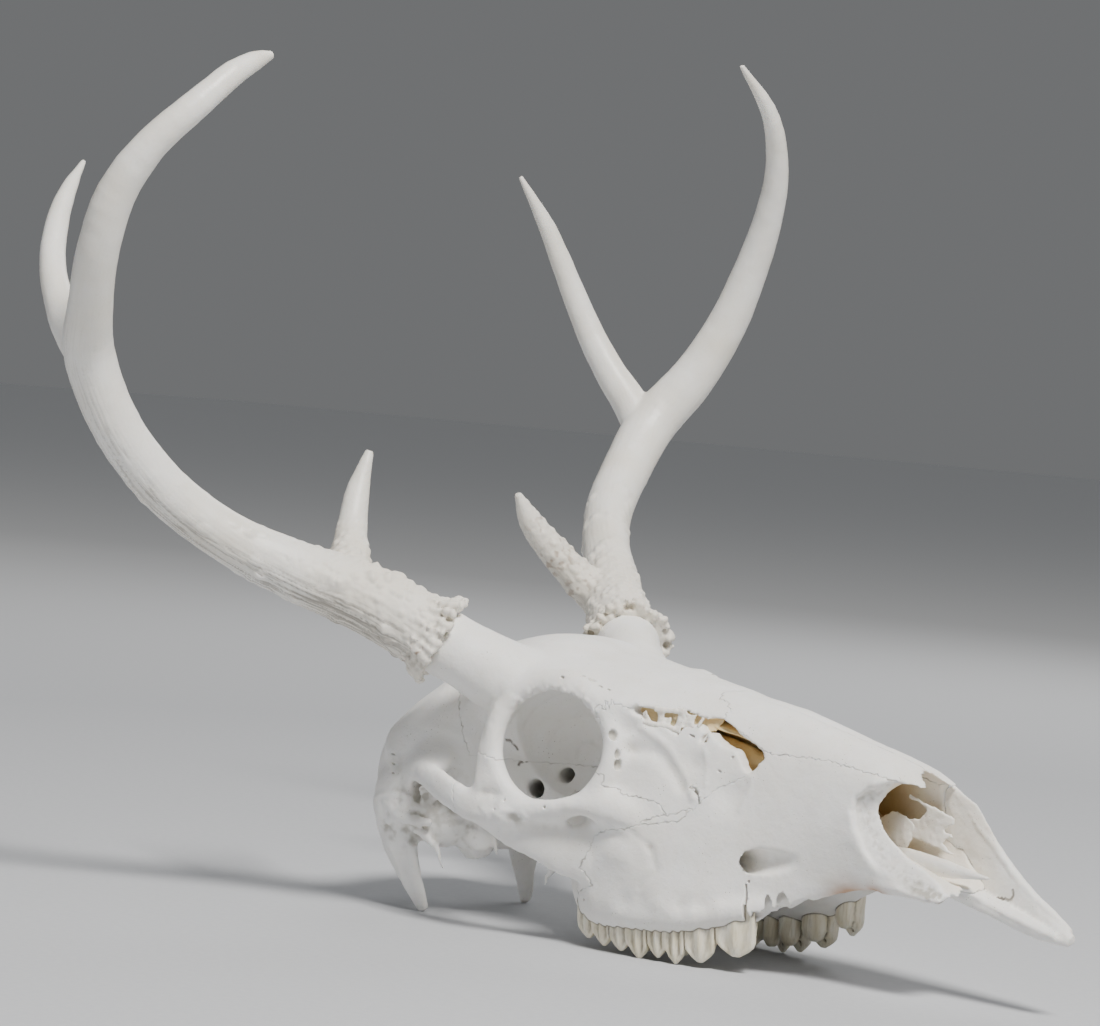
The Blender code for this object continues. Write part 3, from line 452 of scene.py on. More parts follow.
# %% Eye ring, antler stalk and swellings
ORBIT_CENTRE = (-181.7, 45.5, 70.2)
ORBIT_RADIUS = 19.8
ORBIT_FACING = (0.24, 0.95, 0.16)
EYE_RING_THICKNESS = 4.0
BURR_CENTRE = (-229.6, 55.1, 104.2)
BURR_RADIUS = 17.6
PEDICLE_FOOT = (-207.0, 33.0, 88.0)
# Antler stalk: share of the way from its foot to the burr, half sizes
PEDICLE = ((0.0, 17, 16), (0.45, 13.6, 13.4), (0.8, 12.4, 12.4), (1.0, 12.8, 12.8))
# Swellings: place, half sizes, tilt in degrees, segments
CHEEK_SWELLINGS = (((-199, 53.0, 43.5), (9, 4.2, 4.4), (0, -6, 8), 20),
                   ((-153, 35, 34), (12, 7, 10), (0, 0, 0), 24))
REAR_SWELLINGS = (
    ((-281, 13, 33), (8.5, 8.5, 12), (0, 25, 0), 20),
    ((-262, 38, 42), (9, 6.5, 14), (0, 0, 0), 20),
    ((-243, 38.6, 59.5), (10.5, 3.4, 12.0), (38, 0, 0), 24),
    ((-246, 28, 33), (10, 8, 8), (0, 0, 0), 20),
    ((-236, 19, 29), (9.5, 6.2, 7.4), (0, -20, 0), 20),
    ((-257, 38.5, 38), (6.5, 5.5, 5.0), (0, 0, 0), 16),
)
FIRST_GRAIN = 1.7                  # voxel of the first, coarse skin, mm
print("eye socket", 2 * ORBIT_RADIUS, "mm across, burr", 2 * BURR_RADIUS, "mm")


# %% Cross-sections
def mirrored_ring(x, half, steps):
    """A smooth ring from its left half outline, top to bottom."""
    outline = half + [(-y, z) for y, z in half[-2:0:-1]]
    return [(x, y, z) for y, z in ring_curve(outline, steps)]


def muzzle_ring(x):
    """Cross-section of the muzzle, wide at the gums and flat at the floor."""
    roof, *walls, floor = smooth_row(MUZZLE, x)
    crown, upper, cheek, gum = zip(walls[0::2], walls[1::2])
    half = [(0, roof), crown, upper, cheek, gum, (gum[0] * 0.62, min(gum[1] + 1.5, floor - 1.0)),
            (gum[0] * 0.5, floor - 2.5), (0, floor)]
    return mirrored_ring(x, half, 5)


def forehead_ring(x):
    """Cross-section of the forehead, widest at the rims of the eyes."""
    roof, shoulder_y, shoulder_z, rim_y, rim_z, wall_y, wall_z, floor = smooth_row(FOREHEAD, x)
    half = [(0, roof), (shoulder_y, shoulder_z), (rim_y, rim_z), (wall_y, wall_z),
            (wall_y * 0.6, floor + 3), (0, floor)]
    return mirrored_ring(x, half, 6)


def egg_ring(x, half_width, low, high, middle, sides):
    """An oval that is widest at its own middle height."""
    ring = []
    for turn in turns(sides):
        reach = (high - middle) if math.sin(turn) > 0 else (middle - low)
        ring.append((x, half_width * math.cos(turn), middle + reach * math.sin(turn)))
    return ring


def orbit_axes(side):
    """The eye socket's forward, upward and outward directions."""
    facing = Vector(on_side(side, ORBIT_FACING)).normalized()
    forward = (Vector((1, 0, 0)) - facing * facing.x).normalized()
    upward = Vector((0, 0, 1)) - facing * facing.z
    upward = (upward - forward * upward.dot(forward)).normalized()
    return forward, upward, facing


def orbit_ring(side, radius, depth, sides):
    """A circle round the axis of the eye socket, at a depth below its rim."""
    forward, upward, facing = orbit_axes(side)
    centre = Vector(on_side(side, ORBIT_CENTRE)) - facing * depth
    return [centre + (forward * math.cos(a) + upward * math.sin(a)) * radius for a in turns(sides)]


print("points of a ring: muzzle", len(muzzle_ring(-100)), "forehead",
      len(forehead_ring(-170)))


# %% Build the masses and fuse them
def add_eye_ring(bm, side):
    """The raised bony ring round the eye."""
    forward, upward, facing = orbit_axes(side)
    centre = Vector(on_side(side, ORBIT_CENTRE)) - facing * 1.5
    rings = []
    for turn in turns(48):
        outward = forward * math.cos(turn) + upward * math.sin(turn)
        middle = centre + outward * (ORBIT_RADIUS + EYE_RING_THICKNESS)
        rings.append([middle + (outward * math.cos(a) + facing * math.sin(a)) * EYE_RING_THICKNESS
                      for a in turns(12)])
    loft(bm, rings, closed_hoop=True)


def add_side_masses(bm, side):
    """What stands out on one side: eye ring, cheek arch, antler stalk, ear region."""
    add_eye_ring(bm, side)
    tube(bm, rows_on(side, CHEEK_ARCH), sides=16, count=30)
    tube(bm, rows_on(side, CHEEK_WEB), sides=16, count=16)
    tube(bm, rows_on(side, GUM_RIDGE), sides=14, count=30)
    tube(bm, rows_on(side, BAR), sides=16, count=12, upright=FORWARDS)
    balls(bm, side, CHEEK_SWELLINGS)
    foot, top = Vector(on_side(side, PEDICLE_FOOT)), Vector(on_side(side, BURR_CENTRE))
    tube(bm, [(*foot.lerp(top, share), wide, tall) for share, wide, tall in PEDICLE],
         sides=24, count=12)
    balls(bm, side, REAR_SWELLINGS)
    tube(bm, rows_on(side, EAR_TUBE), sides=12, count=8)
    tube(bm, rows_on(side, PARACONDYLAR), sides=14, count=14, upright=FORWARDS)
    tube(bm, rows_on(side, HAMULUS), sides=10, count=10)


def thin_masses():
    """Spikes too thin for the first, coarse skin."""
    bm = bmesh.new()
    for side in (RIGHT, LEFT):
        for spike in (STYLOID, INNER_STYLOID, EAR_BAR, LOWER_EAR_BAR):
            tube(bm, rows_on(side, spike), sides=8, count=8, upright=FORWARDS)
    return to_object(bm, "spikes")


def skull_masses():
    """All the big masses, which overlap and are fused next."""
    bm = bmesh.new()
    loft(bm, [muzzle_ring(x) for x in numpy.linspace(-28, -188, 60)])
    loft(bm, [forehead_ring(x) for x in numpy.linspace(-140, -232, 36)])
    loft(bm, [egg_ring(x, *smooth_row(BRAINCASE, x), 48) for x in numpy.linspace(-196, -279, 30)])
    base_rows = [(x, smooth_row(BASE, x)) for x in numpy.linspace(-158, -280, 24)]
    loft(bm, [egg_ring(x, half, low, high, (low + high) / 2, 28)
              for x, (half, low, high) in base_rows])
    for side in (RIGHT, LEFT):
        add_side_masses(bm, side)
    tube(bm, rows_on(RIGHT, RIM_FOOT), sides=14, count=12)
    return to_object(bm, "skull")


skull = fuse(skull_masses(), FIRST_GRAIN, 5)
print("fused skull faces", len(skull.data.polygons))

# %% [markdown]
# Openings in the bone
#
# The eye sockets, the nose, the broken front rim of the upper jaw and the open windows between
# the nose, tear and forehead bones are cut with closed shapes. The windows' edges are ragged,
# because the bone there is thin and breaks.

# %% Eye socket and nose cavity
# Eye socket: depth below the rim, radius
SOCKET = (
    (-14, 19.8), (0, 19.8), (4, 20.6), (9, 22.0), (18, 21.6), (24, 18.8), (29, 14.5), (34, 5.0),
)
# Nose cavity: place, half width, low, high
NOSE_CAVITY = (
    (-15, 12.4, 34.0, 68.0),
    (-45, 12.4, 35.5, 72.0),
    (-60, 12.6, 37.0, 73.5),
    (-80, 17.6, 35.0, 78.5),
    (-104, 20.5, 34.0, 84.0),
    (-128, 23.5, 38.0, 88.0),
    (-148, 24.0, 50.0, 89.0),
    (-162, 15.0, 62.0, 88.0),
)
print("nose cavity", NOSE_CAVITY[0][0] - NOSE_CAVITY[-1][0], "mm long")

# %% Front rim of the upper jaw and ends of the nose bones
# Front rim of the upper jaw bone: inner edge and outer edge of the broad seam face, (x, z)
RIM_INNER = {
    RIGHT: (
        (-54.5, 68.6), (-58.6, 65.0), (-60.4, 61.0), (-60.2, 57.5), (-58.0, 53.4), (-54.0, 48.6),
        (-47.5, 43.4), (-40.0, 40.0), (-34.6, 36.8), (-30.5, 32.6),
    ),
    LEFT: (
        (-48.0, 69.3), (-50.0, 65.5), (-50.0, 61.5), (-48.0, 57.4), (-43.5, 50.0), (-38.0, 43.0),
        (-33.0, 37.0), (-29.0, 31.4),
    ),
}
RIM_OUTER = {
    RIGHT: (
        (-56.0, 69.9), (-62.5, 66.6), (-66.6, 62.4), (-67.3, 57.8), (-65.4, 52.0), (-62.0, 44.6),
        (-57.0, 38.2), (-49.8, 34.4), (-41.0, 30.4), (-33.0, 27.6),
    ),
    LEFT: (
        (-49.0, 70.0), (-52.5, 66.5), (-53.0, 61.5), (-51.0, 56.4), (-46.5, 48.5), (-41.0, 41.0),
        (-36.0, 34.5), (-31.0, 28.5),
    ),
}
NOSE_PRONG = ((-30.0, 80.0), (-50.5, 77.0), (-52.6, 74.6), (-49.5, 71.8), (-44.0, 67.6))
print("corners of the near rim", len(RIM_INNER[RIGHT]), len(RIM_OUTER[RIGHT]))

# %% Windows beside the nose
WINDOW = (
    (-156.6, 86.2), (-153.0, 86.6), (-149.4, 86.3), (-146.2, 86.0), (-142.5, 85.5), (-140.0, 85.9),
    (-137.4, 86.1), (-135.1, 85.4), (-131.7, 84.7), (-129.4, 84.1), (-126.2, 84.2), (-123.1, 84.5),
    (-119.4, 82.5), (-114.7, 79.2), (-109.5, 76.8), (-106.0, 75.3), (-104.2, 72.7), (-107.2, 67.5),
    (-109.1, 66.9), (-112.0, 70.1), (-114.9, 74.5), (-119.7, 75.2), (-123.8, 77.4), (-126.0, 79.8),
    (-126.9, 78.1), (-125.5, 75.9), (-129.1, 76.0), (-129.2, 77.9), (-127.9, 78.6), (-129.1, 80.7),
    (-130.8, 82.2), (-132.9, 81.6), (-135.7, 80.6), (-137.2, 78.1), (-140.3, 79.0), (-143.2, 81.3),
    (-146.2, 79.7), (-148.3, 79.9), (-150.4, 82.6), (-152.8, 83.9), (-155.3, 85.3),
)
print("corners of a window", len(WINDOW))

# %% Nerve holes, pits and hollows
NERVE_HOLES = (((-203, 28, 52.5, 3.4), (-209, 14, 50, 3.5), (-212, 3, 49, 3.0)),
               ((-193, 26, 57.5, 2.8), (-197, 14.5, 56.8, 2.9), (-199, 4, 56.5, 2.5)))
NERVE_POCKET = (
    (-120, 17, 35.4, 2.4, 2.6), (-112, 20.5, 35.6, 3.2, 3.6), (-105, 24.0, 36.3, 4.0, 4.2),
    (-97, 25.0, 37, 3.8, 4.4), (-88, 24.8, 37.8, 3.0, 3.8), (-80, 24.0, 38.8, 1.8, 2.2),
)
# Small pits and slits: x, distance from the midline, z, half sizes
PITS = (
    (-157.3, 40.1, 76.0, 2.5, 1.7, 2.2), (-155.4, 39.5, 69.4, 1.7, 1.3, 2.2),
    (-155.2, 39.4, 65.8, 1.8, 1.5, 2.4), (-180.2, 43.4, 94.6, 1.0, 1.2, 0.55),
    (-171.1, 37.4, 94.6, 1.5, 1.6, 0.9), (-174.0, 38.5, 95.4, 0.7, 1, 0.5),
    (-166.9, 37.8, 92.4, 1.0, 1.2, 0.5), (-163.9, 36.9, 91.5, 0.8, 1.0, 0.35),
    (-261.8, 40.3, 58.9, 0.9, 1, 0.35), (-260.7, 41.2, 55.5, 0.9, 1, 0.35),
    (-259.2, 42.5, 52.1, 0.9, 1, 0.35), (-177.9, 51.6, 48.4, 0.6, 1, 0.6),
    (-193.9, 55.0, 49.2, 0.4, 1, 0.6), (-197.2, 56.4, 45.8, 0.5, 1, 0.4),
    (-167.2, 38.4, 16.0, 0.6, 1, 0.6), (-137.4, 29.8, 78.3, 1.0, 1.6, 0.8),
    (-131.8, 27.9, 77.9, 1.4, 1.6, 0.4), (-115.6, 25.2, 71.8, 0.5, 1, 0.5),
    (-119.1, 27.5, 66.6, 0.9, 1, 0.5), (-162.6, 38.0, 82.2, 0.5, 1, 0.6),
    (-104.0, 26.2, 29.5, 0.6, 1.2, 0.6),
)
LACRIMAL_SLIT = ((-128.2, 31.5, 60.6, 1.0), (-127.0, 31.0, 58.8, 1.5), (-125.2, 31.2, 56.2, 1.1),
                 (-124.2, 31.4, 54.4, 0.5))
# Rounded hollows: place, half sizes, tilt in degrees, segments
EAR_HOLLOWS = (((-237, 37.5, 42.0), (13.0, 11.0, 6.6), (0, 22, 0), 24),
               ((-246, 39.5, 46.0), (5.2, 7.5, 6.0), (0, 0, 0), 20),
               ((-249.5, 37.0, 27.4), (4.4, 4.0, 2.8), (0, 15, 0), 16))
# The throat opening behind the palate and the hole for the spinal cord
BASE_OPENINGS = (((-180, 0, 30), (15, 6.5, 9), (0, 0, 0), 24),
                 ((-286, 0, 43), (18, 9, 10), (0, 0, 0), 24))


print("on each side:", len(NERVE_HOLES), "nerve holes and", len(PITS), "pits")

# %% Closed cutters
# Waves that make an outline ragged: pace along it, height, phase
RAGGED_WAVES = ((1.9, 1.0, 1.0), (3.7, 0.8, 2.0), (0.7, 0.6, 3.0))


def wiggly(outline, step, depth, seed):
    """The same outline with a fine, uneven zigzag along it."""
    made = []
    run = 0.0
    for (x0, z0), (x1, z1) in zip(outline, outline[1:] + outline[:1]):
        length = math.hypot(x1 - x0, z1 - z0)
        count = max(1, round(length / step))
        for k in range(count):
            t = k / count
            s = run + length * t
            swing = sum(height * math.sin(s * pace + phase * seed)
                        for pace, height, phase in RAGGED_WAVES) * depth / 2.4
            made.append((x0 + (x1 - x0) * t - (z1 - z0) / length * swing,
                         z0 + (z1 - z0) * t + (x1 - x0) / length * swing))
        run += length
    return made


def socket_cutter(side):
    """The room of the eyeball."""
    bm = bmesh.new()
    loft(bm, [orbit_ring(side, radius, depth, 48) for depth, radius in SOCKET])
    return to_object(bm, "socket_cutter")


def nose_cutter():
    """The room behind the nose opening."""
    bm = bmesh.new()
    rows = [(x, smooth_row(NOSE_CAVITY, x)) for x in numpy.linspace(-15, -162, 30)]
    loft(bm, [egg_ring(x, half, low, high, (low * 0.55 + high * 0.45), 32)
              for x, (half, low, high) in rows])
    return to_object(bm, "nose_cutter")


def front_cutter(side):
    """Everything ahead of the rim and round the nose prongs, with the slanted seam face."""
    bm = bmesh.new()
    ahead = ((-28.0, 20.0), (-10.0, 20.0), (-10.0, 80.0))
    inner = [*NOSE_PRONG, (-47.5, 68.8), *RIM_INNER[side], *ahead]
    outer = [*NOSE_PRONG, (-48.5, 69.2), *RIM_OUTER[side], *ahead]
    steps = ((-0.3, inner), (12.6, inner), (16.6, outer), (27.0, outer))
    loft(bm, [[(x, y * side, z) for x, z in outline] for y, outline in steps])
    return to_object(bm, "front_cutter")


def window_cutter(side):
    """A plate with the window's ragged outline."""
    bm = bmesh.new()
    slab(bm, wiggly(WINDOW, 0.8, 0.5, 0.7 + side), 14.0 * side, 46.0 * side)
    return to_object(bm, "window_cutter")


def nerve_holes(side):
    """Holes at the back of the socket, the pocket and the ear hollows."""
    bm = bmesh.new()
    for nerve_hole in NERVE_HOLES:
        tube(bm, rows_on(side, nerve_hole), sides=16, count=6)
    tube(bm, rows_on(side, NERVE_POCKET), sides=18, count=20)
    balls(bm, side, EAR_HOLLOWS)
    return to_object(bm, "nerve_holes")


def pits(side):
    """Small pits and the tear slit, which a coarse skin would close."""
    bm = bmesh.new()
    for x, y, z, half_x, half_y, half_z in PITS:
        ball(bm, (x, y * side, z), (half_x, half_y, half_z), (0, 20, 0), 10)
    tube(bm, [(*on_side(side, row), 0.45 * row[3], 2.6) for row in LACRIMAL_SLIT],
         sides=10, count=10, upright=SIDEWAYS)
    return to_object(bm, "pits")


def base_openings():
    """The throat opening and the hole for the spinal cord."""
    bm = bmesh.new()
    balls(bm, LEFT, BASE_OPENINGS)
    return to_object(bm, "base_openings")


print("corners of a ragged window", len(wiggly(WINDOW, 0.8, 0.5, 0.7)))

# %% Cut the openings
cut(skull, nose_cutter())
cut(skull, base_openings())
for side in (RIGHT, LEFT):
    for make_cutter in (front_cutter, socket_cutter, window_cutter, nerve_holes):
        cut(skull, make_cutter(side))
join(skull, thin_masses())
fuse(skull, GRAIN, 3)
print("skull with openings, faces", len(skull.data.polygons))


# %% [markdown]
# The relief of living bone
#
# The fused skin is too smooth. Real bone dips where a gland or a muscle lay, rises over each tooth
# root and along the lines where muscles pulled, and undulates all over by a few tenths of a
# millimetre. Each vertex moves along its normal by the sum of these, which keeps the shape closed.

# %% Dents and bumps
# Place x, distance from the midline, z, reach and height: a bump, or a dent where it is negative
DENTS = (
    (-138, 34, 60, 10, -0.9), (-129.0, 29.2, 68.0, 4.8, -1.6), (-114, 27.4, 58.5, 6, -1.4),
    (-59.5, 17.2, 67.2, 3.4, 1.0), (-68.5, 18.6, 57, 2.4, 0.5), (-66.5, 18.6, 48, 2.4, 0.4),
    (-112, 31, 34, 13, -0.6), (-149.5, 40.6, 34, 10, 0.3), (-126, 34, 30, 9, -0.5),
    (-118, 31, 48, 12, 0.4), (-142.2, 39.7, 20.0, 3.2, -0.6), (-147.5, 40.2, 18.0, 3.0, -0.5),
    (-125.6, 35.9, 19.6, 3.0, -0.6), (-118.8, 33.5, 20.3, 3.0, -0.5),
    (-133.4, 38.3, 18.0, 3.5, 0.7), (-129.1, 37.2, 16.1, 2.5, 0.4), (-113.0, 30.6, 20.0, 3.5, 0.6),
    (-121.9, 35.0, 17.0, 2.6, 0.5), (-153.0, 40.4, 16.0, 4.0, 0.5), (-163.0, 39.0, 16.0, 4.0, 0.5),
    (-226, 36, 80, 14, -0.8), (-246, 38, 66, 10, 0.5), (-262, 20, 84, 10, -0.6),
    (-276, 10, 66, 8, -0.8), (-276, 0, 72, 5, 1.4), (-232, 41, 46, 7, -0.6),
    (-188, 12, 104, 9, -0.7), (-176, 36, 97, 8, 0.4), (-252, 6, 24, 4, 0.8),
    (-150, 0, 98, 16, -0.8), (-88, 18, 62, 12, -0.6), (-206, 0, 107, 12, 0.5),
    (-60, 17, 45, 7, 0.4), (-189.5, 54.8, 43.0, 3.4, -1.2), (-256, 42.6, 38.6, 4, 0.8),
    (-262.5, 41.5, 31.0, 3.4, -1.2), (-260.0, 43.0, 36.0, 2.5, -0.7),
    (-255.0, 37.5, 24.4, 3.0, -0.8),
)
print("dents and bumps", len(DENTS))

# %% Ridges and grooves
# Path of (x, distance from the midline, z), half width and height of the ridge or groove
RIDGES = (
    (((-40, 0, 78), (-80, 0, 84), (-134, 0, 96)), 1.5, -0.8),
    (((-158, 22, 99), (-176, 25, 101.5), (-190, 24, 105.5)), 2.0, -0.9),
    (((-217.9, 38, 67), (-233.5, 37, 69.2), (-250, 38, 72), (-266, 36, 74)), 1.8, 0.4),
    (((-258, 41, 50), (-266, 39, 62), (-269, 32, 76), (-270, 16, 84), (-270, 0, 87)), 2.2, 1.0),
    (
        (
            (-152.3, 35.3, 71.5), (-144.4, 33.0, 71.3), (-140.7, 32.1, 69.3), (-134.1, 31.6, 63.3),
            (-131.5, 31.6, 60.7),
        ),
        3.0, -1.5,
    ),
    (
        (
            (-150.0, 33.2, 79.0), (-143.3, 31.8, 75.7), (-138.9, 30.9, 72.3), (-132.4, 30.8, 64.4),
            (-126.5, 31.5, 56.5),
        ),
        1.5, 0.9,
    ),
    (((-126.1, 27.4, 73.0), (-124.1, 27.9, 67.1), (-123.3, 29.2, 61.5)), 0.9, 0.5),
    (((-107.0, 24.7, 65.5), (-107.4, 25.6, 60.0), (-110.0, 26.6, 54.0)), 1.1, 0.4),
    (((-139.1, 38.6, 37.5), (-136.2, 38.3, 30.2), (-141.7, 39.7, 23.8)), 1.6, -0.5),
    (
        ((-165.0, 39.9, 39.5), (-155.1, 43.8, 46.0), (-147.7, 41.2, 43.6), (-139.6, 38.6, 38)),
        1.3, -0.35,
    ),
    (
        (
            (-196.5, 54.8, 42.6), (-192.0, 55.6, 45.6), (-186.0, 53.6, 45.4), (-184.0, 52.0, 42.8),
            (-189.0, 53.8, 40.2),
        ),
        0.9, 0.6,
    ),
    (
        ((-265.3, 43.6, 42.4), (-261.1, 44.0, 43.6), (-256.7, 43.0, 44.3), (-249.0, 41.6, 43.8)),
        1.1, 0.9,
    ),
    (((-262.5, 39.0, 28), (-259.2, 37.7, 18), (-255.2, 34.1, 8.3)), 1.1, 0.5),
    (((-257.0, 37.5, 24), (-255.5, 35.0, 16), (-253.4, 32.5, 9)), 1.2, -0.5),
    (((-196, 54, 48), (-208, 55, 48), (-222, 53, 53), (-236, 48, 56)), 1.6, 0.35),
)
ORBIT_BROW = ((-200, 45.5, 82), (-195.9, 47.2, 85.1), (-189.3, 44.2, 88.6), (-180.4, 43.8, 90.1),
              (-171.9, 42.6, 88.3), (-166.3, 41.0, 83.4))


print("ridges and grooves", len(RIDGES))


# %% Points of a skin, and clouds
def vertex_table(body):
    """Every vertex's place in mm and its normal, as two tables."""
    count = len(body.data.vertices)
    places, normals = numpy.empty(count * 3), numpy.empty(count * 3)
    body.data.vertices.foreach_get("co", places)
    body.data.vertex_normals.foreach_get("vector", normals)
    return places.reshape(-1, 3) / MM, normals.reshape(-1, 3)


def set_places(body, places):
    """Move every vertex to its place in mm."""
    body.data.vertices.foreach_set("co", (places * MM).ravel())
    body.data.update()


def raise_skin(body, heights):
    """Move every vertex along its normal by its own height in mm."""
    places, normals = vertex_table(body)
    set_places(body, places + normals * heights[:, None])


def on_left(places):
    """The same places, all on the animal's left."""
    return numpy.column_stack([places[:, 0], abs(places[:, 1]), places[:, 2]])


def closeness(places, spot, reach):
    """1 at the spot, falling to nothing over a reach in mm."""
    return numpy.exp(-(numpy.linalg.norm(places - spot, axis=1) / reach) ** 2)


def clouds(places, size, octaves=2, seed=0.0):
    """Smooth random heights, about -1 to 1, with lumps of the given size."""
    shift = Vector((seed + 0.37, 2.0 * seed, 3.0 * seed))
    return numpy.array([noise.fractal(Vector(place) / size + shift, 1.0, 2.0, octaves)
                        for place in places])


print("cloud heights at three points", clouds(vertex_table(skull)[0][:3], 10.0).round(2))

# %% Raise the relief
# Rough places: x, distance from the midline, z, reach and height of the unevenness
RUGGED = (
    (-238, 20, 28, 11, 0.9), (-252, 20, 30, 9, 0.5), (-282, 12, 32, 8, 0.35),
    (-244, 44, 52, 8, 0.3), (-259, 39, 37, 13, 0.65), (-199, 54.5, 43.5, 7, 0.6),
    (-275, 8, 72, 10, 0.45), (-268, 30, 66, 8, 0.35), (-36, 15, 31.5, 6, 0.6),
    (-208, 51, 66, 7, 0.25), (-207, 50, 80, 6, 0.35), (-164, 41, 60, 6, 0.25),
)
# The broad rough face along the front rim, where the missing bone was joined
RIM_FACE = (
    (-57.3, 15.2, 68.5), (-60.5, 15.2, 65.8), (-63.5, 15.2, 61.7), (-63.8, 15.2, 57.6),
    (-61.7, 15.2, 52.7), (-58.0, 15.2, 46.6), (-52.3, 15.2, 40.8), (-45.0, 15.2, 37.2),
    (-38.0, 14.8, 33.6), (-32.0, 14.5, 30.3),
)


def line_distance(places, path):
    """How far every place lies from a bent line."""
    nearest = numpy.full(len(places), 1e9)
    for start, end in zip(path, path[1:]):
        start, run = numpy.array(start, float), numpy.array(end, float) - numpy.array(start, float)
        share = numpy.clip((places - start) @ run / (run @ run), 0, 1)
        gap = numpy.linalg.norm(places - start - share[:, None] * run, axis=1)
        nearest = numpy.minimum(nearest, gap)
    return nearest


def bone_relief(places):
    """The height to add at every place of the skull."""
    folded = on_left(places)
    heights = 0.22 * clouds(places, 13.0) + 0.07 * clouds(places, 3.2, 2, 4.0)
    crumbly = numpy.exp(-(line_distance(folded, ORBIT_BROW) / 2.6) ** 2)
    heights += crumbly * (0.95 * clouds(places, 2.1, 2, 2.0) - 0.1)
    knots = clouds(places, 3.6, 3, 6.0)
    for *spot, reach, height in RUGGED:
        heights += height * closeness(folded, spot, reach) * knots
    torn = numpy.exp(-(line_distance(places * (1.0, -1.0, 1.0), RIM_FACE) / 2.6) ** 2)
    heights += torn * 0.30 * clouds(places, 1.7, 2, 7.0)
    for *spot, reach, height in DENTS:
        heights += height * closeness(folded, spot, reach)
    for path, width, height in RIDGES:
        heights += height * numpy.exp(-(line_distance(folded, path) / width) ** 2)
    return heights


raise_skin(skull, bone_relief(vertex_table(skull)[0]))
print("relief added to", len(skull.data.vertices), "points of the skull")

# %% [markdown]
# Cheek teeth
#
# A deer's upper cheek teeth are tall, with two half-moon lobes on each molar and one on each
# premolar. The outer side has a sharp cusp per lobe between thin upright pillars, and the inner
# side is a rounded column. Between them lies a dark crescent pit. Each lobe is a set of lofts,
# fused at a fine grain, and every tooth is its own piece in its own socket.

# %% Tables of the teeth
# Name, front x, front outer y, back x, back outer y, width, root height, tip height of each lobe
TEETH = (
    ("p2", -86.5, 21.5, -97.5, 26.0, 8.0, 29.0, (9.0,)),
    ("p3", -100.6, 27.0, -114.6, 31.0, 10.5, 21.0, (2.4,)),
    ("p4", -114.8, 31.3, -125.4, 34.5, 12.0, 18.0, (-1.0,)),
    ("m1", -125.8, 34.9, -140.2, 37.0, 13.5, 16.0, (-2.5, -1.2)),
    ("m2", -140.7, 37.2, -156.7, 38.0, 14.0, 15.0, (-2.5, -0.8)),
    ("m3", -157.1, 38.0, -173.2, 36.0, 13.0, 16.0, (0.0, 1.6)),
)
SHELF_Z = -2.5                     # lowest point that a tooth may reach, in the skull's frame
# Outer wall of a lobe, root to tip: share of height, share of length, half thickness, rib depth
OUTER_WALL = (
    (1.0, 0.86, 3.0, 0.15), (0.66, 0.98, 2.9, 0.5), (0.44, 1.02, 2.7, 0.7), (0.3, 1.02, 2.4, 0.8),
    (0.2, 0.93, 2.1, 0.75), (0.12, 0.7, 1.7, 0.5), (0.05, 0.4, 1.2, 0.25), (0.0, 0.18, 0.7, 0.0),
)
# Inner column: share of the height, share of the length, share of the width
INNER_COLUMN = ((1.0, 0.74, 0.55), (0.6, 0.88, 0.62), (0.34, 0.84, 0.60), (0.2, 0.66, 0.46),
                (0.13, 0.34, 0.26))
WALL_OUT, COLUMN_IN, PILLAR_OUT = 0.25, 0.16, 0.43     # distances from the middle, shares of width
# Thin pillar at each end of the outer wall: share of the length, radius, lowest share of the
# height
PILLARS = ((0.45, 0.95, 0.18), (-0.45, 0.85, 0.22))
PILLAR_LEAN = 0.3
# Crescent pit: share of the length, bend as a share of the width
CRESCENT = ((-0.27, -0.08), (-0.12, 0.05), (0.12, 0.05), (0.27, -0.08))
print("teeth in a whole row", len(TEETH))


# %% Grow the teeth
def add_lobe(bm, middle, forwards, inwards, length, width, root, tip):
    """One lobe of a tooth: ribbed outer wall that ends in a point, inner column and pillars."""
    tall = root - tip

    def level(share):
        return Vector((0, 0, tip + tall * share))

    def oval(centre, half_length, half_width):
        return [centre + forwards * math.cos(a) * half_length + inwards * math.sin(a) * half_width
                for a in turns(24)]

    def ribbed(centre, half_length, half_width, depth):
        ring = []
        for a in turns(48):
            along_wall, across = math.cos(a), math.sin(a)
            end = abs(along_wall)
            middle_rib = math.exp(-((along_wall - 0.03) / 0.17) ** 2)
            end_rib = math.exp(-((end - 0.88) / 0.15) ** 2)
            valley = math.exp(-((end - 0.47) / 0.2) ** 2)
            swell = (middle_rib + 0.9 * end_rib - 0.8 * valley) * depth * (across < 0)
            ring.append(centre + forwards * along_wall * half_length
                        + inwards * (across * half_width - swell))
        return ring

    outer, inner = middle - inwards * width * WALL_OUT, middle + inwards * width * COLUMN_IN
    loft(bm, [ribbed(outer + inwards * (0.5 * share) + forwards * length * 0.05 * (1 - share) ** 2
                     + level(share), length * 0.5 * grow, thick, depth)
              for share, grow, thick, depth in OUTER_WALL])
    loft(bm, [oval(inner + level(share), length * 0.5 * grow, width * 0.5 * wide)
              for share, grow, wide in INNER_COLUMN])
    skin = middle - inwards * width * PILLAR_OUT
    for offset, radius, low in PILLARS:
        foot = skin + forwards * length * offset + inwards * PILLAR_LEAN
        tube(bm, [(*(foot + level(share) + inwards * (1 - share)), radius * size)
                  for share, size in ((1.0, 0.8), (0.6, 1.0), (low + 0.12, 0.8), (low, 0.3))],
             sides=10, count=8, upright=FORWARDS)


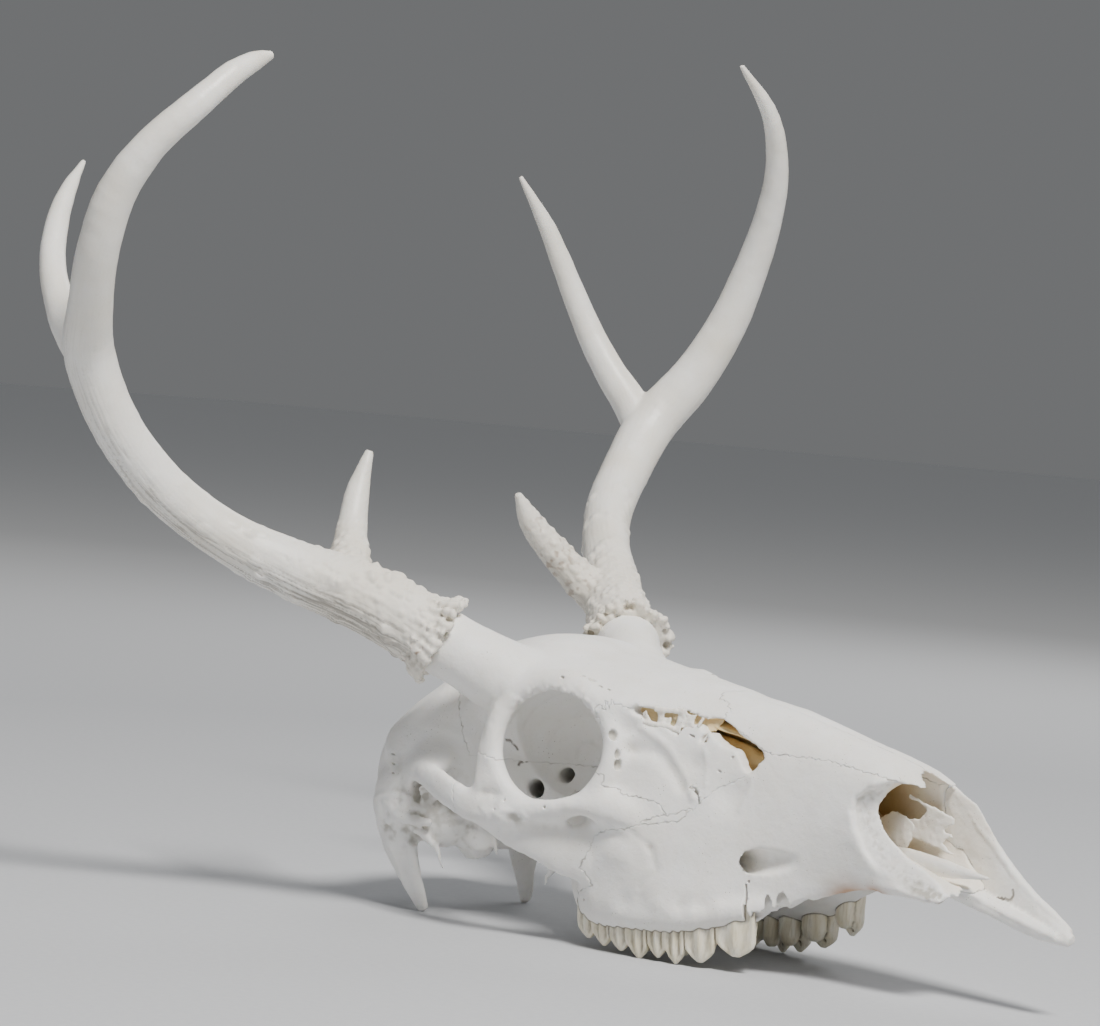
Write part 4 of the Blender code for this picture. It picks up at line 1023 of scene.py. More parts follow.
def crescent_pit(bm, middle, forwards, inwards, length, width, root, tip):
    """The dark half-moon pit in the chewing face of a lobe."""
    depth = tip + (root - tip) * 0.22
    points = [middle + forwards * length * along_lobe - inwards * width * (0.06 - bend)
              for along_lobe, bend in CRESCENT]
    tube(bm, [(p.x, p.y, depth, 0.65, 2.6) for p in points], sides=10, count=10)


def tooth(side, row):
    """One tooth with its lobes and pits."""
    name, front_x, front_y, back_x, back_y, width, root, tips = row
    front, back = Vector((front_x, front_y * side, 0)), Vector((back_x, back_y * side, 0))
    forwards = (front - back).normalized()
    inwards = Vector((forwards.y, -forwards.x, 0.0)) * side
    length = (front - back).length / len(tips)
    crown, pits = bmesh.new(), bmesh.new()
    for lobe, tip in enumerate(tips):
        middle = front - forwards * length * (lobe + 0.5) + inwards * width * 0.5
        add_lobe(crown, middle, forwards, inwards, length, width, root, max(tip, SHELF_Z))
        crescent_pit(pits, middle, forwards, inwards, length, width, root, max(tip, SHELF_Z))
    made = fuse(to_object(crown, SIDE_NAMES[side] + "_" + name), TOOTH_GRAIN, 2)
    cut(made, to_object(pits, "pits"))
    places = vertex_table(made)[0]
    raise_skin(made, 0.05 * clouds(places * (1.0, 1.0, 0.3), 1.1, 2, front_x) - 0.03)
    return made


teeth = [tooth(side, row) for side in (RIGHT, LEFT) for row in TEETH
         if (side, row[0]) != (RIGHT, "p2")]
print(len(teeth), "teeth, lowest point in mm",
      round(min(vertex.co.z for piece in teeth for vertex in piece.data.vertices) / MM, 2))

# %% [markdown]
# Sockets, and the broken one
#
# Every tooth stands in a socket that is a hair wider than the tooth, which gives the dark gum
# line. The right side has lost its front tooth, and its thin socket wall has crumbled into
# scallops.

# %% Tooth sockets
FIN_CUT = (
    (-103.4, 10.0), (-103.4, 14.0), (-101.0, 19.1), (-99.4, 19.6), (-98.6, 19.3), (-97.4, 20.6),
    (-96.0, 22.2), (-95.2, 21.4), (-94.0, 21.6), (-92.0, 21.2), (-90.2, 22.4), (-88.9, 24.0),
    (-86.0, 25.4), (-83.0, 25.0), (-83.0, 10.0),
)
SOCKET_PITS = ((-92.6, 21.0, 21.0, 2.6, 3.0, 6.5), (-97.2, 22.6, 19.5, 2.2, 3.0, 7.0))
SOCKET_SLIT = ((-102.2, 27.2, 13.0, 1.5), (-103.0, 27.2, 18.5, 1.2), (-104.0, 26.8, 23.5, 0.8),
               (-104.9, 26.6, 28.5, 0.35))

for piece in teeth:
    cut(skull, grown(piece, "tooth_socket", 0.16))
fin = bmesh.new()
slab(fin, wiggly(FIN_CUT, 0.9, 0.3, 2.0), -13.0, -40.0)
cut(skull, to_object(fin, "fin"))
crumbled = bmesh.new()
for x, y, z, half_x, half_y, half_z in SOCKET_PITS:
    ball(crumbled, (x, -y, z), (half_x, half_y, half_z), (8, 0, 0))
cut(skull, to_object(crumbled, "crumbled"))
split = bmesh.new()
tube(split, [on_side(RIGHT, (*row, 3.2)) for row in SOCKET_SLIT], sides=10, count=10,
     upright=SIDEWAYS)
cut(skull, to_object(split, "split"))
for side in (RIGHT, LEFT):
    cut(skull, pits(side))
print("skull faces after the sockets", len(skull.data.polygons))

# %% [markdown]
# Bones and their seams
#
# A deer's skull is many bones that meet along fine, wandering seams. Each bone is cut out of the
# fused skull with a prism whose outline wriggles by a few tenths of a millimetre, and a hairline
# gap stays between neighbours, so that light and dirt show the seam as on the real thing.

# %% Outlines of the bones
NOSE_BONE = (
    (-20, 66.0), (-50.0, 68.4), (-57.0, 70.4), (-80, 74.0), (-94.8, 74.3), (-99.6, 74.2),
    (-103.3, 74.6), (-106, 75.6), (-113, 79.5), (-123.0, 84.2), (-123.0, 85.4), (-123.7, 86.3),
    (-122.7, 86.9), (-123.4, 88.2), (-125.1, 89.0), (-126.8, 90.6), (-128.9, 90.8), (-132.4, 92.4),
    (-135.5, 95.0), (-138, 110.0), (-20, 110.0),
)
JAW_BONE = (
    (-15, 71.0), (-57.0, 73.0), (-104, 80.0), (-112, 73.0), (-114.0, 66.5), (-121.5, 58.0),
    (-124.6, 54.4), (-130.2, 48.0), (-150, 44.0), (-190, 52.0), (-192, 5.0), (-170, -8.0),
    (-15, -8.0),
)
CHEEK_BONE = (
    (-135.4, 50.1), (-138.5, 48.8), (-141.4, 47.4), (-143.9, 46.7), (-144.0, 45.4), (-145.9, 44.8),
    (-147.4, 43.7), (-152.1, 43.0), (-157.0, 42.2), (-161.2, 40.8), (-162.8, 39.5), (-164.4, 34.8),
    (-165.9, 31.0), (-168.0, 27.5), (-165.5, 25.2), (-162.5, 21.8), (-172, 18.0), (-186, 22),
    (-200, 26), (-214, 33), (-220.0, 60.0), (-214, 66.0), (-199, 63.0), (-163, 62.0),
    (-158.8, 61.5), (-158.3, 59.4), (-159.2, 58.4), (-157.2, 57.2), (-155.2, 57.3), (-151.5, 55.3),
    (-147.4, 54.8), (-139.9, 53.8), (-138.8, 53.0), (-136.7, 50.9),
)
TEAR_BONE = (
    (-124.4, 54.9), (-125.0, 53.0), (-125.6, 52.1), (-126.2, 52.9), (-127.6, 52.6), (-129.4, 52.0),
    (-130.2, 51.3), (-131.9, 50.2), (-133.8, 50.0), (-135.8, 49.6), (-162.0, 45.0), (-164.5, 66.0),
    (-164.5, 76.0), (-163.2, 81.2), (-165.4, 81.6), (-165.6, 84.0), (-165.3, 85.6), (-164.0, 86.2),
    (-163.3, 84.8), (-161.6, 84.5), (-162.5, 86.6), (-162.6, 87.8), (-161.2, 86.5), (-160.3, 85.0),
    (-160.6, 88.4), (-159.2, 86.9), (-157.0, 86.6), (-154.0, 85.2), (-147.0, 83.0), (-130.0, 82.0),
    (-117.5, 79.0), (-112.5, 73.5), (-108.5, 69.0), (-109.0, 66.0), (-119.0, 60.5),
)
FOREHEAD_BONE = (
    (-100, 120.0), (-104, 76.0), (-112, 66.0), (-150, 60.0), (-228, 62.0), (-241, 86.0),
    (-246, 130.0),
)
# Order of the cuts: name, outline, nearest and furthest distance from the midline, slant of the
# near face along x
BONE_CUTS = (
    ("_cheek_bone", CHEEK_BONE, -18.0, 75.0, -0.3),
    ("_tear_bone", TEAR_BONE, 20.0, 60.0, 0.0),
    ("_nose_bone", NOSE_BONE, GAP / 2, 30.0, 0.0),
    ("_jaw_bone", JAW_BONE, GAP / 2, 60.0, 0.0),
    ("_forehead_bone", FOREHEAD_BONE, GAP / 2, 80.0, 0.0),
)
print("bones to part on each side", len(BONE_CUTS))


# %% Part the skull
def part_bone(body, name, outline, near_y, far_y, slant=0.0, wander=0.55):
    """Take one bone out of the fused skull, and leave a hairline seam round it."""
    bm = bmesh.new()
    slab(bm, wiggly(outline, 0.9, wander, len(name) + near_y), near_y, far_y, slant)
    region = to_object(bm, name + "_region")
    wider = grown(region, name + "_cutter", GAP)
    made = copy_of(body, name)
    cut(made, region, "INTERSECT")
    cut(body, wider)
    return made


bones = []
for side in (RIGHT, LEFT):
    label = SIDE_NAMES[side]
    for name, outline, near_y, far_y, slant in BONE_CUTS:
        bones.append(part_bone(skull, label + name, outline, near_y * side, far_y * side,
                               slant * side))
skull.name = "braincase"
bones.append(skull)
print("bones", {piece.name: len(piece.data.polygons) for piece in bones})

# %% [markdown]
# Left front jaw bone and the ploughshare bone
#
# Only the left front jaw bone is left: a thin plate beside the nose opening that turns into a rod
# and ends in a blunt tip. The ploughshare bone stands on the midline of the nose floor and ends in
# a thin free spike. Both are flattened tubes, fused at a fine grain.

# %% Tables of the premaxilla and the vomer
# Plate beside the nose opening, top to tip: x, y, z, half thickness, half breadth
PREMAXILLA = (
    (-50.2, 12.8, 66.4, 1.0, 3.8),
    (-45.5, 12.6, 57.5, 1.1, 9.6),
    (-38.8, 12.6, 49.2, 1.2, 9.8),
    (-30.0, 12.4, 40.5, 1.3, 8.2),
    (-19.5, 11.6, 32.4, 1.6, 7.4),
    (-5.6, 9.4, 25.8, 2.2, 4.2),
    (3.8, 7.4, 22.7, 2.6, 2.7),
    (8.2, 6.4, 21.2, 1.9, 1.6),
)
PALATE_SHELF = ((-58, 7.5, 34.8, 4.5, 1.6), (-44, 7.6, 34.4, 4.7, 2.0), (-36, 7.6, 33.0, 4.7, 2.0),
                (-25, 7.2, 29.8, 4.7, 2.0),
                (-10, 7.0, 25.2, 4.4, 2.2), (3, 6.4, 21.8, 3.4, 2.0))
OUTER_RIM = (
    (-46.0, 13.1, 65.2, 1.5), (-41.2, 13.2, 61.2, 1.6), (-36.4, 13.1, 55.4, 1.7),
    (-28.4, 12.8, 48.4, 1.7), (-20.2, 12.2, 40.4, 1.8), (-9.8, 11.0, 32.6, 1.9),
    (0.0, 9.3, 27.0, 1.9), (6.0, 7.6, 23.4, 1.7),
)
LOWER_RIM = (
    (-44, 4.0, 32.4, 1.2), (-34, 4.2, 30.2, 1.8), (-24, 4.6, 27.8, 2.0), (-12, 5.2, 24.2, 2.2),
    (0, 5.6, 21.6, 2.2), (7.4, 6.0, 20.6, 1.6),
)
VOMER = (
    (-118, 0, 40.0, 1.2, 6.0), (-90, 0, 39.5, 1.3, 7.0), (-66, 0, 41.0, 1.5, 5.2),
    (-56, 0, 41.0, 1.9, 4.6), (-46, -0.2, 40.7, 2.0, 3.7), (-39, -0.4, 40.3, 1.8, 3.0),
    (-33, -0.6, 39.8, 1.5, 2.2), (-26, -0.8, 39.3, 1.0, 1.1), (-22, -0.9, 39.1, 0.6, 0.6),
)
INCISOR_SUTURE = (
    (-25.5, 10.0, 30.8), (-25.0, 10.5, 31.6), (-24.2, 10.5, 31.1), (-23.4, 10.4, 31.8),
    (-22.6, 10.3, 31.1), (-21.8, 10.0, 31.9), (-20.6, 9.9, 31.3), (-19.2, 9.8, 31.9),
    (-18.4, 9.8, 33.4), (-18.9, 9.8, 35.2),
)
print("stations: premaxilla", len(PREMAXILLA), "vomer", len(VOMER))


# %% Premaxilla and vomer
def fine_piece(name, tubes, voxel, roughness):
    """A small bone: tubes fused at a fine grain, with an uneven skin."""
    bm = bmesh.new()
    for rows in tubes:
        tube(bm, rows, sides=20, count=40)
    made = fuse(to_object(bm, name), voxel, 3)
    raise_skin(made, roughness * clouds(vertex_table(made)[0], 4.0, 3, 7.0))
    return made


def trimmed(body, neighbours):
    """Trim a thin bone back from the bones that it meets."""
    for neighbour in neighbours:
        cut(body, grown(neighbour, "trim", GAP))
    return body


vomer = trimmed(fine_piece("vomer", [VOMER], 0.5, 0.15), bones)
premaxilla = fine_piece("left_premaxilla",
                        [PREMAXILLA, PALATE_SHELF, OUTER_RIM, LOWER_RIM], 0.5, 0.2)
premaxilla = trimmed(premaxilla, bones)
bones += [vomer, premaxilla]
print("bones with the premaxilla and the vomer", len(bones))


# %% Drawn seams
def thin_seam(body, path, radius):
    """Cut a fine line along a path that is laid onto the body's surface."""
    tree = BVHTree.FromPolygons([vertex.co / MM for vertex in body.data.vertices],
                                [list(face.vertices) for face in body.data.polygons])
    laid = [(*tree.find_nearest(Vector(point))[0], radius) for point in path]
    bm = bmesh.new()
    tube(bm, laid, sides=6, count=len(path) * 3, upright=(0.2, 1.0, 0.1))
    return cut(body, to_object(bm, "thin_seam"))


SOCKET_SEAMS = (
    (
        (-213.9, 32.3, 68.6), (-211.8, 32.2, 68.7), (-211.0, 32.1, 67.4), (-210.1, 31.3, 66.9),
        (-209.2, 30.9, 65.4),
    ),
    (
        (-209.5, 29.5, 59.8), (-208.6, 29.3, 61.4), (-207.9, 29.4, 60.9), (-207.2, 29.4, 62.9),
        (-206.4, 28.8, 61.4), (-207.4, 29.6, 63.6),
    ),
)
SEAM_RADIUS = 0.34


def gap_to(bone, point):
    """How far a point in mm lies from a bone."""
    return (bone.closest_point_on_mesh(Vector(point) * MM)[1] / MM - Vector(point)).length


drawn = [(premaxilla, INCISOR_SUTURE)]
for seam in SOCKET_SEAMS:
    for side in (RIGHT, LEFT):
        path = rows_on(side, seam)
        drawn.append((min(bones, key=lambda bone: gap_to(bone, path[1])), path))
for bone, path in drawn:
    thin_seam(bone, path, SEAM_RADIUS)
print("drawn seams on", [bone.name for bone, path in drawn])

# %% [markdown]
# Scrolls inside the nose
#
# Behind the nose opening and behind the two windows lie paper-thin scrolls of bone. Each scroll is
# a loft whose cross-section is a spiral strip, and the torn plates at the front are flat outlines
# that are fused at a fine grain, bent and roughened. They show as honey and cream shapes in the
# openings.

# %% Scrolls and torn plates
def spiral_ring(x, centre_y, centre_z, radius, side, twist, twists=1.35, thick=0.7, steps=34):
    """One cross-section of a scroll: a strip that winds inwards."""
    outer, inner = [], []
    for k in range(steps + 1):
        share = k / steps
        angle = twist + share * twists * 2 * math.pi
        reach = radius * (1.0 - 0.62 * share)
        across, upwards = math.cos(angle) * side, math.sin(angle)
        for skin, far in ((outer, reach), (inner, reach - thick)):
            skin.append((x, centre_y * side + across * far, centre_z + upwards * far))
    return outer + inner[::-1]


def scroll(name, side, rows, twist):
    """A scroll along rows of (x, y, z, radius), with a slightly crumpled skin."""
    bm = bmesh.new()
    loft(bm, [spiral_ring(x, y, z, radius, side, twist + 0.012 * (x - rows[0][0]))
              for x, y, z, radius in along(rows, 30)])
    made = to_object(bm, SIDE_NAMES[side] + name)
    places = vertex_table(made)[0]
    waves = numpy.stack([clouds(places, 6.0, 2, 3.0 + k) for k in range(3)], axis=1)
    set_places(made, places + 0.5 * waves)
    return made


def torn_plate(name, outline, near_y, thick, slopes, bend):
    """A thin plate with a ragged outline, slanting along x and z and bulging across y."""
    bm = bmesh.new()
    slab(bm, wiggly(outline, 0.7, 0.35, near_y), near_y, near_y + thick)
    made = fuse(to_object(bm, name), 0.34, 2)
    places = vertex_table(made)[0]
    middle = places.mean(axis=0)
    ahead, above = places[:, 0] - middle[0], places[:, 2] - middle[2]
    places[:, 1] += slopes[0] * ahead + slopes[1] * above + bend * (above / 8.0) ** 2
    places[:, 1] += 0.4 * clouds(places * (1.0, 0.0, 1.0), 4.0, 2, near_y)
    set_places(made, places)
    return made


print("points of a spiral",
      len(spiral_ring(-120, 14.0, 70.0, 9.0, RIGHT, 0.6)))

# %% Tables of the scrolls
UPPER_SCROLL = (
    (-152, 18.0, 77.0, 8.0), (-140, 17.0, 75.5, 9.8), (-124, 14.6, 73.0, 9.8),
    (-106, 11.4, 67.5, 8.4), (-88, 8.5, 64.5, 5.5),
)
LOWER_SCROLL = (
    (-128, 10.5, 53.5, 7.0), (-110, 10.0, 52.0, 8.5), (-90, 8.5, 51.0, 8.0), (-76, 7.5, 51.5, 6.4),
)
LACE = ((-60.6, 63.6), (-58.0, 62.8), (-55.0, 61.0), (-50.0, 59.8), (-46.4, 58.0), (-43.4, 56.8),
        (-43.8, 54.6), (-46.0, 54.0), (-47.4, 52.6), (-46.6, 51.4), (-44.4, 51.6), (-43.8, 50.4),
        (-46.6, 49.4), (-47.6, 48.0), (-45.4, 46.4), (-42.2, 44.4), (-46.0, 45.0), (-50.0, 46.4),
        (-55.5, 47.8), (-62.0, 49.0), (-72.0, 50.0), (-72.0, 55.0), (-60.0, 55.0), (-56.6, 55.6),
        (-55.2, 57.4), (-53.8, 58.8), (-57.0, 61.2), (-61.0, 62.2))
CONCHA = ((-67.0, 57.2), (-63.1, 56.2), (-60.4, 54.6), (-58.6, 52.8), (-58.8, 49.4), (-60.6, 45.6),
          (-63.4, 43.6), (-67.0, 43.0), (-72.0, 46.0), (-73.0, 53.0))
BACKING = (
    (-158.0, 84.5), (-151.0, 88.0), (-130.0, 88.0), (-124.0, 85.0), (-126.6, 80.0), (-133.0, 77.0),
    (-146.0, 77.0), (-154.0, 81.0),
)
# Struts of spongy bone that cross the window: lower end, upper end, half width and half thickness
STRUTS = (
    ((-146.9, 31.6, 79.4), (-150.6, 32.2, 84.8), 1.3, 0.45),
    ((-144.4, 30.2, 79.4), (-145.2, 29.4, 86.4), 2.1, 0.5),
    ((-141.2, 29.6, 78.2), (-142.6, 28.4, 83.4), 1.6, 0.5),
    ((-138.6, 28.6, 78.6), (-137.2, 26.4, 86.0), 2.3, 0.55),
    ((-134.2, 27.0, 80.4), (-134.9, 25.4, 85.0), 2.9, 0.6),
    ((-130.6, 26.4, 81.0), (-129.4, 24.8, 84.6), 0.9, 0.5),
    ((-128.4, 26.8, 75.4), (-126.4, 24.6, 79.6), 0.7, 0.4),
    ((-150.0, 33.0, 81.4), (-139.0, 29.0, 79.8), 0.8, 1.0),
    ((-147.0, 31.0, 86.1), (-136.0, 26.2, 86.0), 0.7, 1.0),
)
print("struts of a window", len(STRUTS))


# %% Scrolls, lace and lattice in their places
def window_lattice(side):
    """The struts of one window, waisted in their middles and fused."""
    bm = bmesh.new()
    for low, high, half_width, half_thick in STRUTS:
        middle = [(a + b) / 2 for a, b in zip(low, high)]
        tube(bm, [(*on_side(side, point), half_thick, half_width * waist)
                  for point, waist in ((low, 1.0), (middle, 0.7), (high, 1.0))],
             sides=10, count=12, upright=FORWARDS)
    made = fuse(to_object(bm, SIDE_NAMES[side] + "_window_lattice"), 0.4, 1)
    raise_skin(made, 0.25 * clouds(vertex_table(made)[0], 1.6, 2, 6.0))
    return made


scrolls = []
for side in (RIGHT, LEFT):
    scrolls.append(scroll("_upper_turbinate", side, UPPER_SCROLL, 0.6))
    scrolls.append(scroll("_lower_turbinate", side, LOWER_SCROLL, 3.4))
    scrolls.append(window_lattice(side))
    scrolls.append(torn_plate(SIDE_NAMES[side] + "_window_backing", BACKING, 25.4 * side, 0.8,
                              (-0.36 * side, -0.35 * side), -0.6 * side))
scrolls.append(torn_plate("front_lace", LACE, 7.2, 0.9, (0.10, 0.0), -0.8))
scrolls.append(torn_plate("front_concha", CONCHA, 4.6, 0.9, (0.30, 0.0), 0.9))
print("scrolls", {piece.name: len(piece.data.polygons) for piece in scrolls})

# %% [markdown]
# Antlers
#
# An antler is one piece of bone, cast and grown again each year: a thick burr with a coronet of
# knobs, a beam that sweeps back, out and forwards, a short brow tine and a fork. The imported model
# splits it into four solids, which this one skin replaces. Near the burr the surface is pearled
# and furrowed, and towards the tips it is rubbed smooth.

# %% Tables of the antlers
# Rows of x, y (outwards), z, radius. The beam runs from the burr to the tip.
ANTLERS = {
    RIGHT: {
        'beam': (
            (-229.6, 55.1, 104.2, 13.8), (-250.9, 71.2, 117.3, 13.2), (-270.5, 90.1, 126.2, 11.5),
            (-287.5, 110.0, 137.4, 9.8), (-300.7, 129.7, 153.4, 9.5), (-308.5, 147.6, 175.0, 9.4),
            (-309.2, 162.4, 200.7, 9.6), (-298.6, 173.0, 217.4, 8.4), (-287.8, 181.0, 235.5, 7.9),
            (-278.0, 183.4, 254.9, 7.4), (-266.7, 179.0, 272.3, 6.3), (-256.3, 168.4, 287.3, 5.6),
            (-251.9, 153.9, 300.6, 4.7), (-252.4, 144.0, 305.6, 3.7), (-253.7, 135.9, 308.3, 1.9),
        ),
        'fork_tine': (
            (-309.0, 160.0, 196.0, 8.0), (-320.5, 161.6, 208.5, 7.0), (-330.5, 158.6, 219.0, 5.9),
            (-338.6, 154.9, 229.1, 5.3), (-347.1, 147.2, 244.1, 4.8), (-353.3, 137.0, 259.2, 3.7),
            (-358.2, 124.8, 272.6, 1.3),
        ),
        'brow_tine': (
            (-257.0, 77.5, 121.5, 10.0), (-267.2, 65.2, 129.6, 8.4), (-275.1, 56.2, 140.5, 6.3),
            (-279.3, 49.8, 154.9, 5.0), (-279.1, 44.6, 171.8, 1.9),
        ),
    },
    LEFT: {
        'beam': (
            (-229.3, 55.2, 103.6, 13.6), (-249.7, 72.5, 115.7, 12.4), (-268.3, 90.8, 127.9, 10.8),
            (-286.2, 108.5, 140.5, 9.9), (-299.7, 127.2, 154.8, 10.3),
            (-307.4, 146.8, 171.6, 10.6), (-309.6, 164.1, 190.4, 11.0),
            (-299.0, 175.6, 209.7, 10.0), (-287.6, 181.2, 231.4, 8.9), (-277.1, 181.6, 253.7, 7.8),
            (-266.1, 177.6, 275.7, 6.6), (-256.1, 169.1, 297.4, 5.3), (-250.4, 154.9, 318.4, 4.0),
            (-252.1, 134.8, 337.4, 1.3),
        ),
        'fork_tine': (
            (-309.5, 161.0, 185.5, 9.0), (-320.5, 161.2, 199.0, 8.0), (-330.5, 158.0, 212.5, 7.0),
            (-338.6, 154.0, 227.7, 6.2), (-345.8, 147.1, 248.0, 5.3), (-351.5, 137.7, 269.8, 4.1),
            (-357.7, 124.5, 291.2, 1.3),
        ),
        'brow_tine': (
            (-257.5, 76.0, 116.5, 9.0), (-267.4, 66.0, 128.2, 7.2), (-274.3, 57.4, 138.7, 6.2),
            (-278.4, 49.8, 148.6, 4.8), (-279.5, 42.9, 158.3, 1.6),
        ),
    },
}
KNOBS = 26                         # knobs round one coronet
# Tubes of one antler: steps along each branch
BRANCHES = {"beam": 60, "fork_tine": 26, "brow_tine": 20}
# Rings of knobs: height over the burr, how much a knob's own swing adds, step inwards, share of
# size
KNOB_RINGS = ((-0.6, 1.0, 0.0, 0.95), (1.6, 0.8, 1.2, 1.0), (4.4, 0.8, 2.6, 0.85),
              (7.6, 1.4, 3.4, 0.6))


print("knobs on one burr", KNOBS * len(KNOB_RINGS))


# %% Antler skin
def antler_skin(side):
    """Burr, beam and tines grown together into one skin."""
    bm = bmesh.new()
    rows = ANTLERS[side]
    for branch, count in BRANCHES.items():
        tube(bm, rows_on(side, rows[branch]), sides=28, count=count,
             upright=(0.5, 0.2 * side, -0.8))
    start, after = (Vector(on_side(side, row)[:3]) for row in rows["beam"][:2])
    outward = (after - start).normalized()
    across = Vector(UPWARDS).cross(outward).normalized()
    rise = outward.cross(across)
    turn = Matrix((across, rise, outward)).transposed().to_4x4()
    bmesh.ops.create_cone(bm, cap_ends=True, segments=48, radius1=BURR_RADIUS - 3.4,
                          radius2=BURR_RADIUS - 4.0, depth=8.0,
                          matrix=Matrix.Translation(start + outward * 2.5) @ turn)
    for k, angle in enumerate(turns(KNOBS)):
        swing = math.sin(5.3 * k + side) * 0.5 + math.sin(2.1 * k) * 0.5
        spoke = across * math.cos(angle + 0.06 * swing) + rise * math.sin(angle + 0.06 * swing)
        size = 2.0 + 0.55 * math.sin(3.7 * k + 1.0)
        reach = BURR_RADIUS + 0.9 - size + 1.1 * swing
        for height, own, inwards, share in KNOB_RINGS:
            place = start + outward * (height + own * swing) + spoke * (reach - inwards)
            bmesh.ops.create_uvsphere(bm, u_segments=12, v_segments=8, radius=size * share,
                                      matrix=Matrix.Translation(place))
    return drop_crumbs(fuse(to_object(bm, SIDE_NAMES[side] + "_antler"), ANTLER_GRAIN, 3))


antlers = {side: antler_skin(side) for side in (RIGHT, LEFT)}
print("antler faces", [len(piece.data.polygons) for piece in antlers.values()])
for piece in antlers.values():
    for bone in bones:
        if bone.name.endswith("forehead_bone"):
            cut(bone, grown(piece, "burr_seat", GAP))
for piece in bones + teeth:
    drop_crumbs(piece)

# %% [markdown]
# Pearls and furrows
#
# While an antler grows, blood vessels run over it under the velvet and leave long furrows, and
# small round pearls stand between them. Both follow the beam, so each point is first given its
# distance along its branch and its direction from the axis.

# %% Place along an antler
def branch_place(places, side):
    """For every point: its branch, its distance along it, and its direction from the axis."""
    rows = ANTLERS[side]
    nearest = numpy.full(len(places), 1e9)
    run, kind = numpy.zeros(len(places)), numpy.zeros(len(places))
    turned = numpy.zeros((len(places), 2))
    for number, branch in enumerate(BRANCHES):
        axis = numpy.array(along(rows_on(side, rows[branch]), 70))
        steps = numpy.linalg.norm(numpy.diff(axis[:, :3], axis=0), axis=1)
        travelled = numpy.concatenate([[0.0], numpy.cumsum(steps)])
        sideways = Vector(UPWARDS)
        for k, (point, length) in enumerate(zip(axis, travelled)):
            before, after = max(k - 1, 0), min(k + 1, len(axis) - 1)
            forward = Vector(axis[after, :3] - axis[before, :3]).normalized()
            sideways = (sideways - forward * sideways.dot(forward)).normalized()
            other = forward.cross(sideways)
            gap = places - point[:3]
            far = numpy.linalg.norm(gap, axis=1) - point[3]
            closer = far < nearest
            nearest[closer], kind[closer] = far[closer], number
            run[closer] = length + gap[closer] @ numpy.array(forward)
            turned[closer] = gap[closer] @ numpy.array((sideways, other)).T
    turned /= numpy.maximum(numpy.linalg.norm(turned, axis=1), 1e-6)[:, None]
    return kind, run, turned


print("branches of an antler", list(BRANCHES))

# %% Pearls and furrows
# Brown stains between the pearls: place and reach
ANTLER_STAINS = {
    RIGHT: (((-225.0, -70.3, 100.1), 3.0), ((-236, -64, 96), 5.0)),
    LEFT: (
        ((-271, 61, 134), 9.0), ((-264, 68, 124), 8.0), ((-232, 50, 108), 6.0),
        ((-276, 52, 146), 5.0),
    ),
}


def voronoi_bumps(places, size, seed=0.0):
    """Round pearls: 1 at the middle of a pearl, 0 between them."""
    shift = Vector((seed, seed, seed))
    gaps = (noise.voronoi(Vector(place) / size + shift)[0][0] for place in places)
    return numpy.array([max(0.0, 1.0 - 1.8 * gap) for gap in gaps])


def grow_relief(body, side):
    """Add pearls and furrows, and hand over what the material needs to know of each point."""
    places = vertex_table(body)[0]
    kind, run, turned = branch_place(places, side)
    on_beam, on_brow = kind == 0, kind == 2
    upper = turned[:, 0]                      # 1 on top of the beam, -1 below
    growth = numpy.column_stack([turned * 10.0, run])
    streaks = clouds(growth / (1.0, 1.0, 20.0), 1.7, 2, 3.0 + side)
    groove = 1.0 - numpy.minimum(abs(streaks) * 4.0, 1.0)
    below = numpy.clip(0.35 - 1.1 * upper, 0.0, 1.0)
    reach = numpy.where(on_beam,
                        numpy.clip(1.25 - run / 190.0, 0, 1) * numpy.clip(run / 12.0, 0, 1),
                        numpy.where(on_brow, 0.35, 0.12))
    furrow = groove * reach * (below if side == RIGHT else 0.25 + 0.4 * below)
    lumps = clouds(places, 11.0, 1, 5.0)
    # The far brow tine is knobbly nearly to its tip
    brow_reach = 44.0 if side == LEFT else 30.0
    near_burr = numpy.where(on_beam, numpy.clip(1.45 - run / 52.0, 0, 1),
                            numpy.where(on_brow, numpy.clip(1.5 - run / brow_reach, 0.12, 1), 0.0))
    fine_pearls = (voronoi_bumps(places, 3.5) * near_burr
                   * numpy.clip(0.75 + upper * 0.6, 0.25, 1.0))
    big = numpy.where(on_beam, numpy.clip(1.3 - run / 130.0, 0, 1),
                      numpy.where(on_brow, 1.6 - run / brow_reach, 0.0))
    big_pearls = (voronoi_bumps(places, 6.2, 3.3) * numpy.clip(big, 0, 1)
                  * numpy.clip(lumps * 2.2 + 0.3, 0, 1))
    heights = (1.15 * fine_pearls + 1.6 * big_pearls - 0.36 * furrow - 0.4
               + 0.16 * clouds(places, 9.0, 2, 9.0)
               + 0.10 * near_burr * clouds(places, 1.6, 1, 1.0))
    raise_skin(body, heights)
    rough = numpy.clip(near_burr + 0.35 * reach, 0, 1)
    stained = numpy.zeros(len(places))
    for spot, far in ANTLER_STAINS[side]:
        stained = numpy.maximum(stained, closeness(places, spot, far))
    stained *= numpy.clip(clouds(places, 2.6, 2, 2.0) * 2.4 + 0.15, 0, 1) * (1.0 - fine_pearls)
    # The furrow and under values grey the furrows and the underside in the material: partly stain,
    # partly painted shade.
    return {"furrow": numpy.clip(furrow * 1.4 * (1.0 - 0.7 * fine_pearls), 0.0, 1.0),
            "rough": rough, "growth": growth, "under": below * reach, "stain": stained}


furrows = {side: grow_relief(piece, side) for side, piece in antlers.items()}
print("furrowed share",
      [round(float((kept["furrow"] > 0.5).mean()), 2) for kept in furrows.values()])
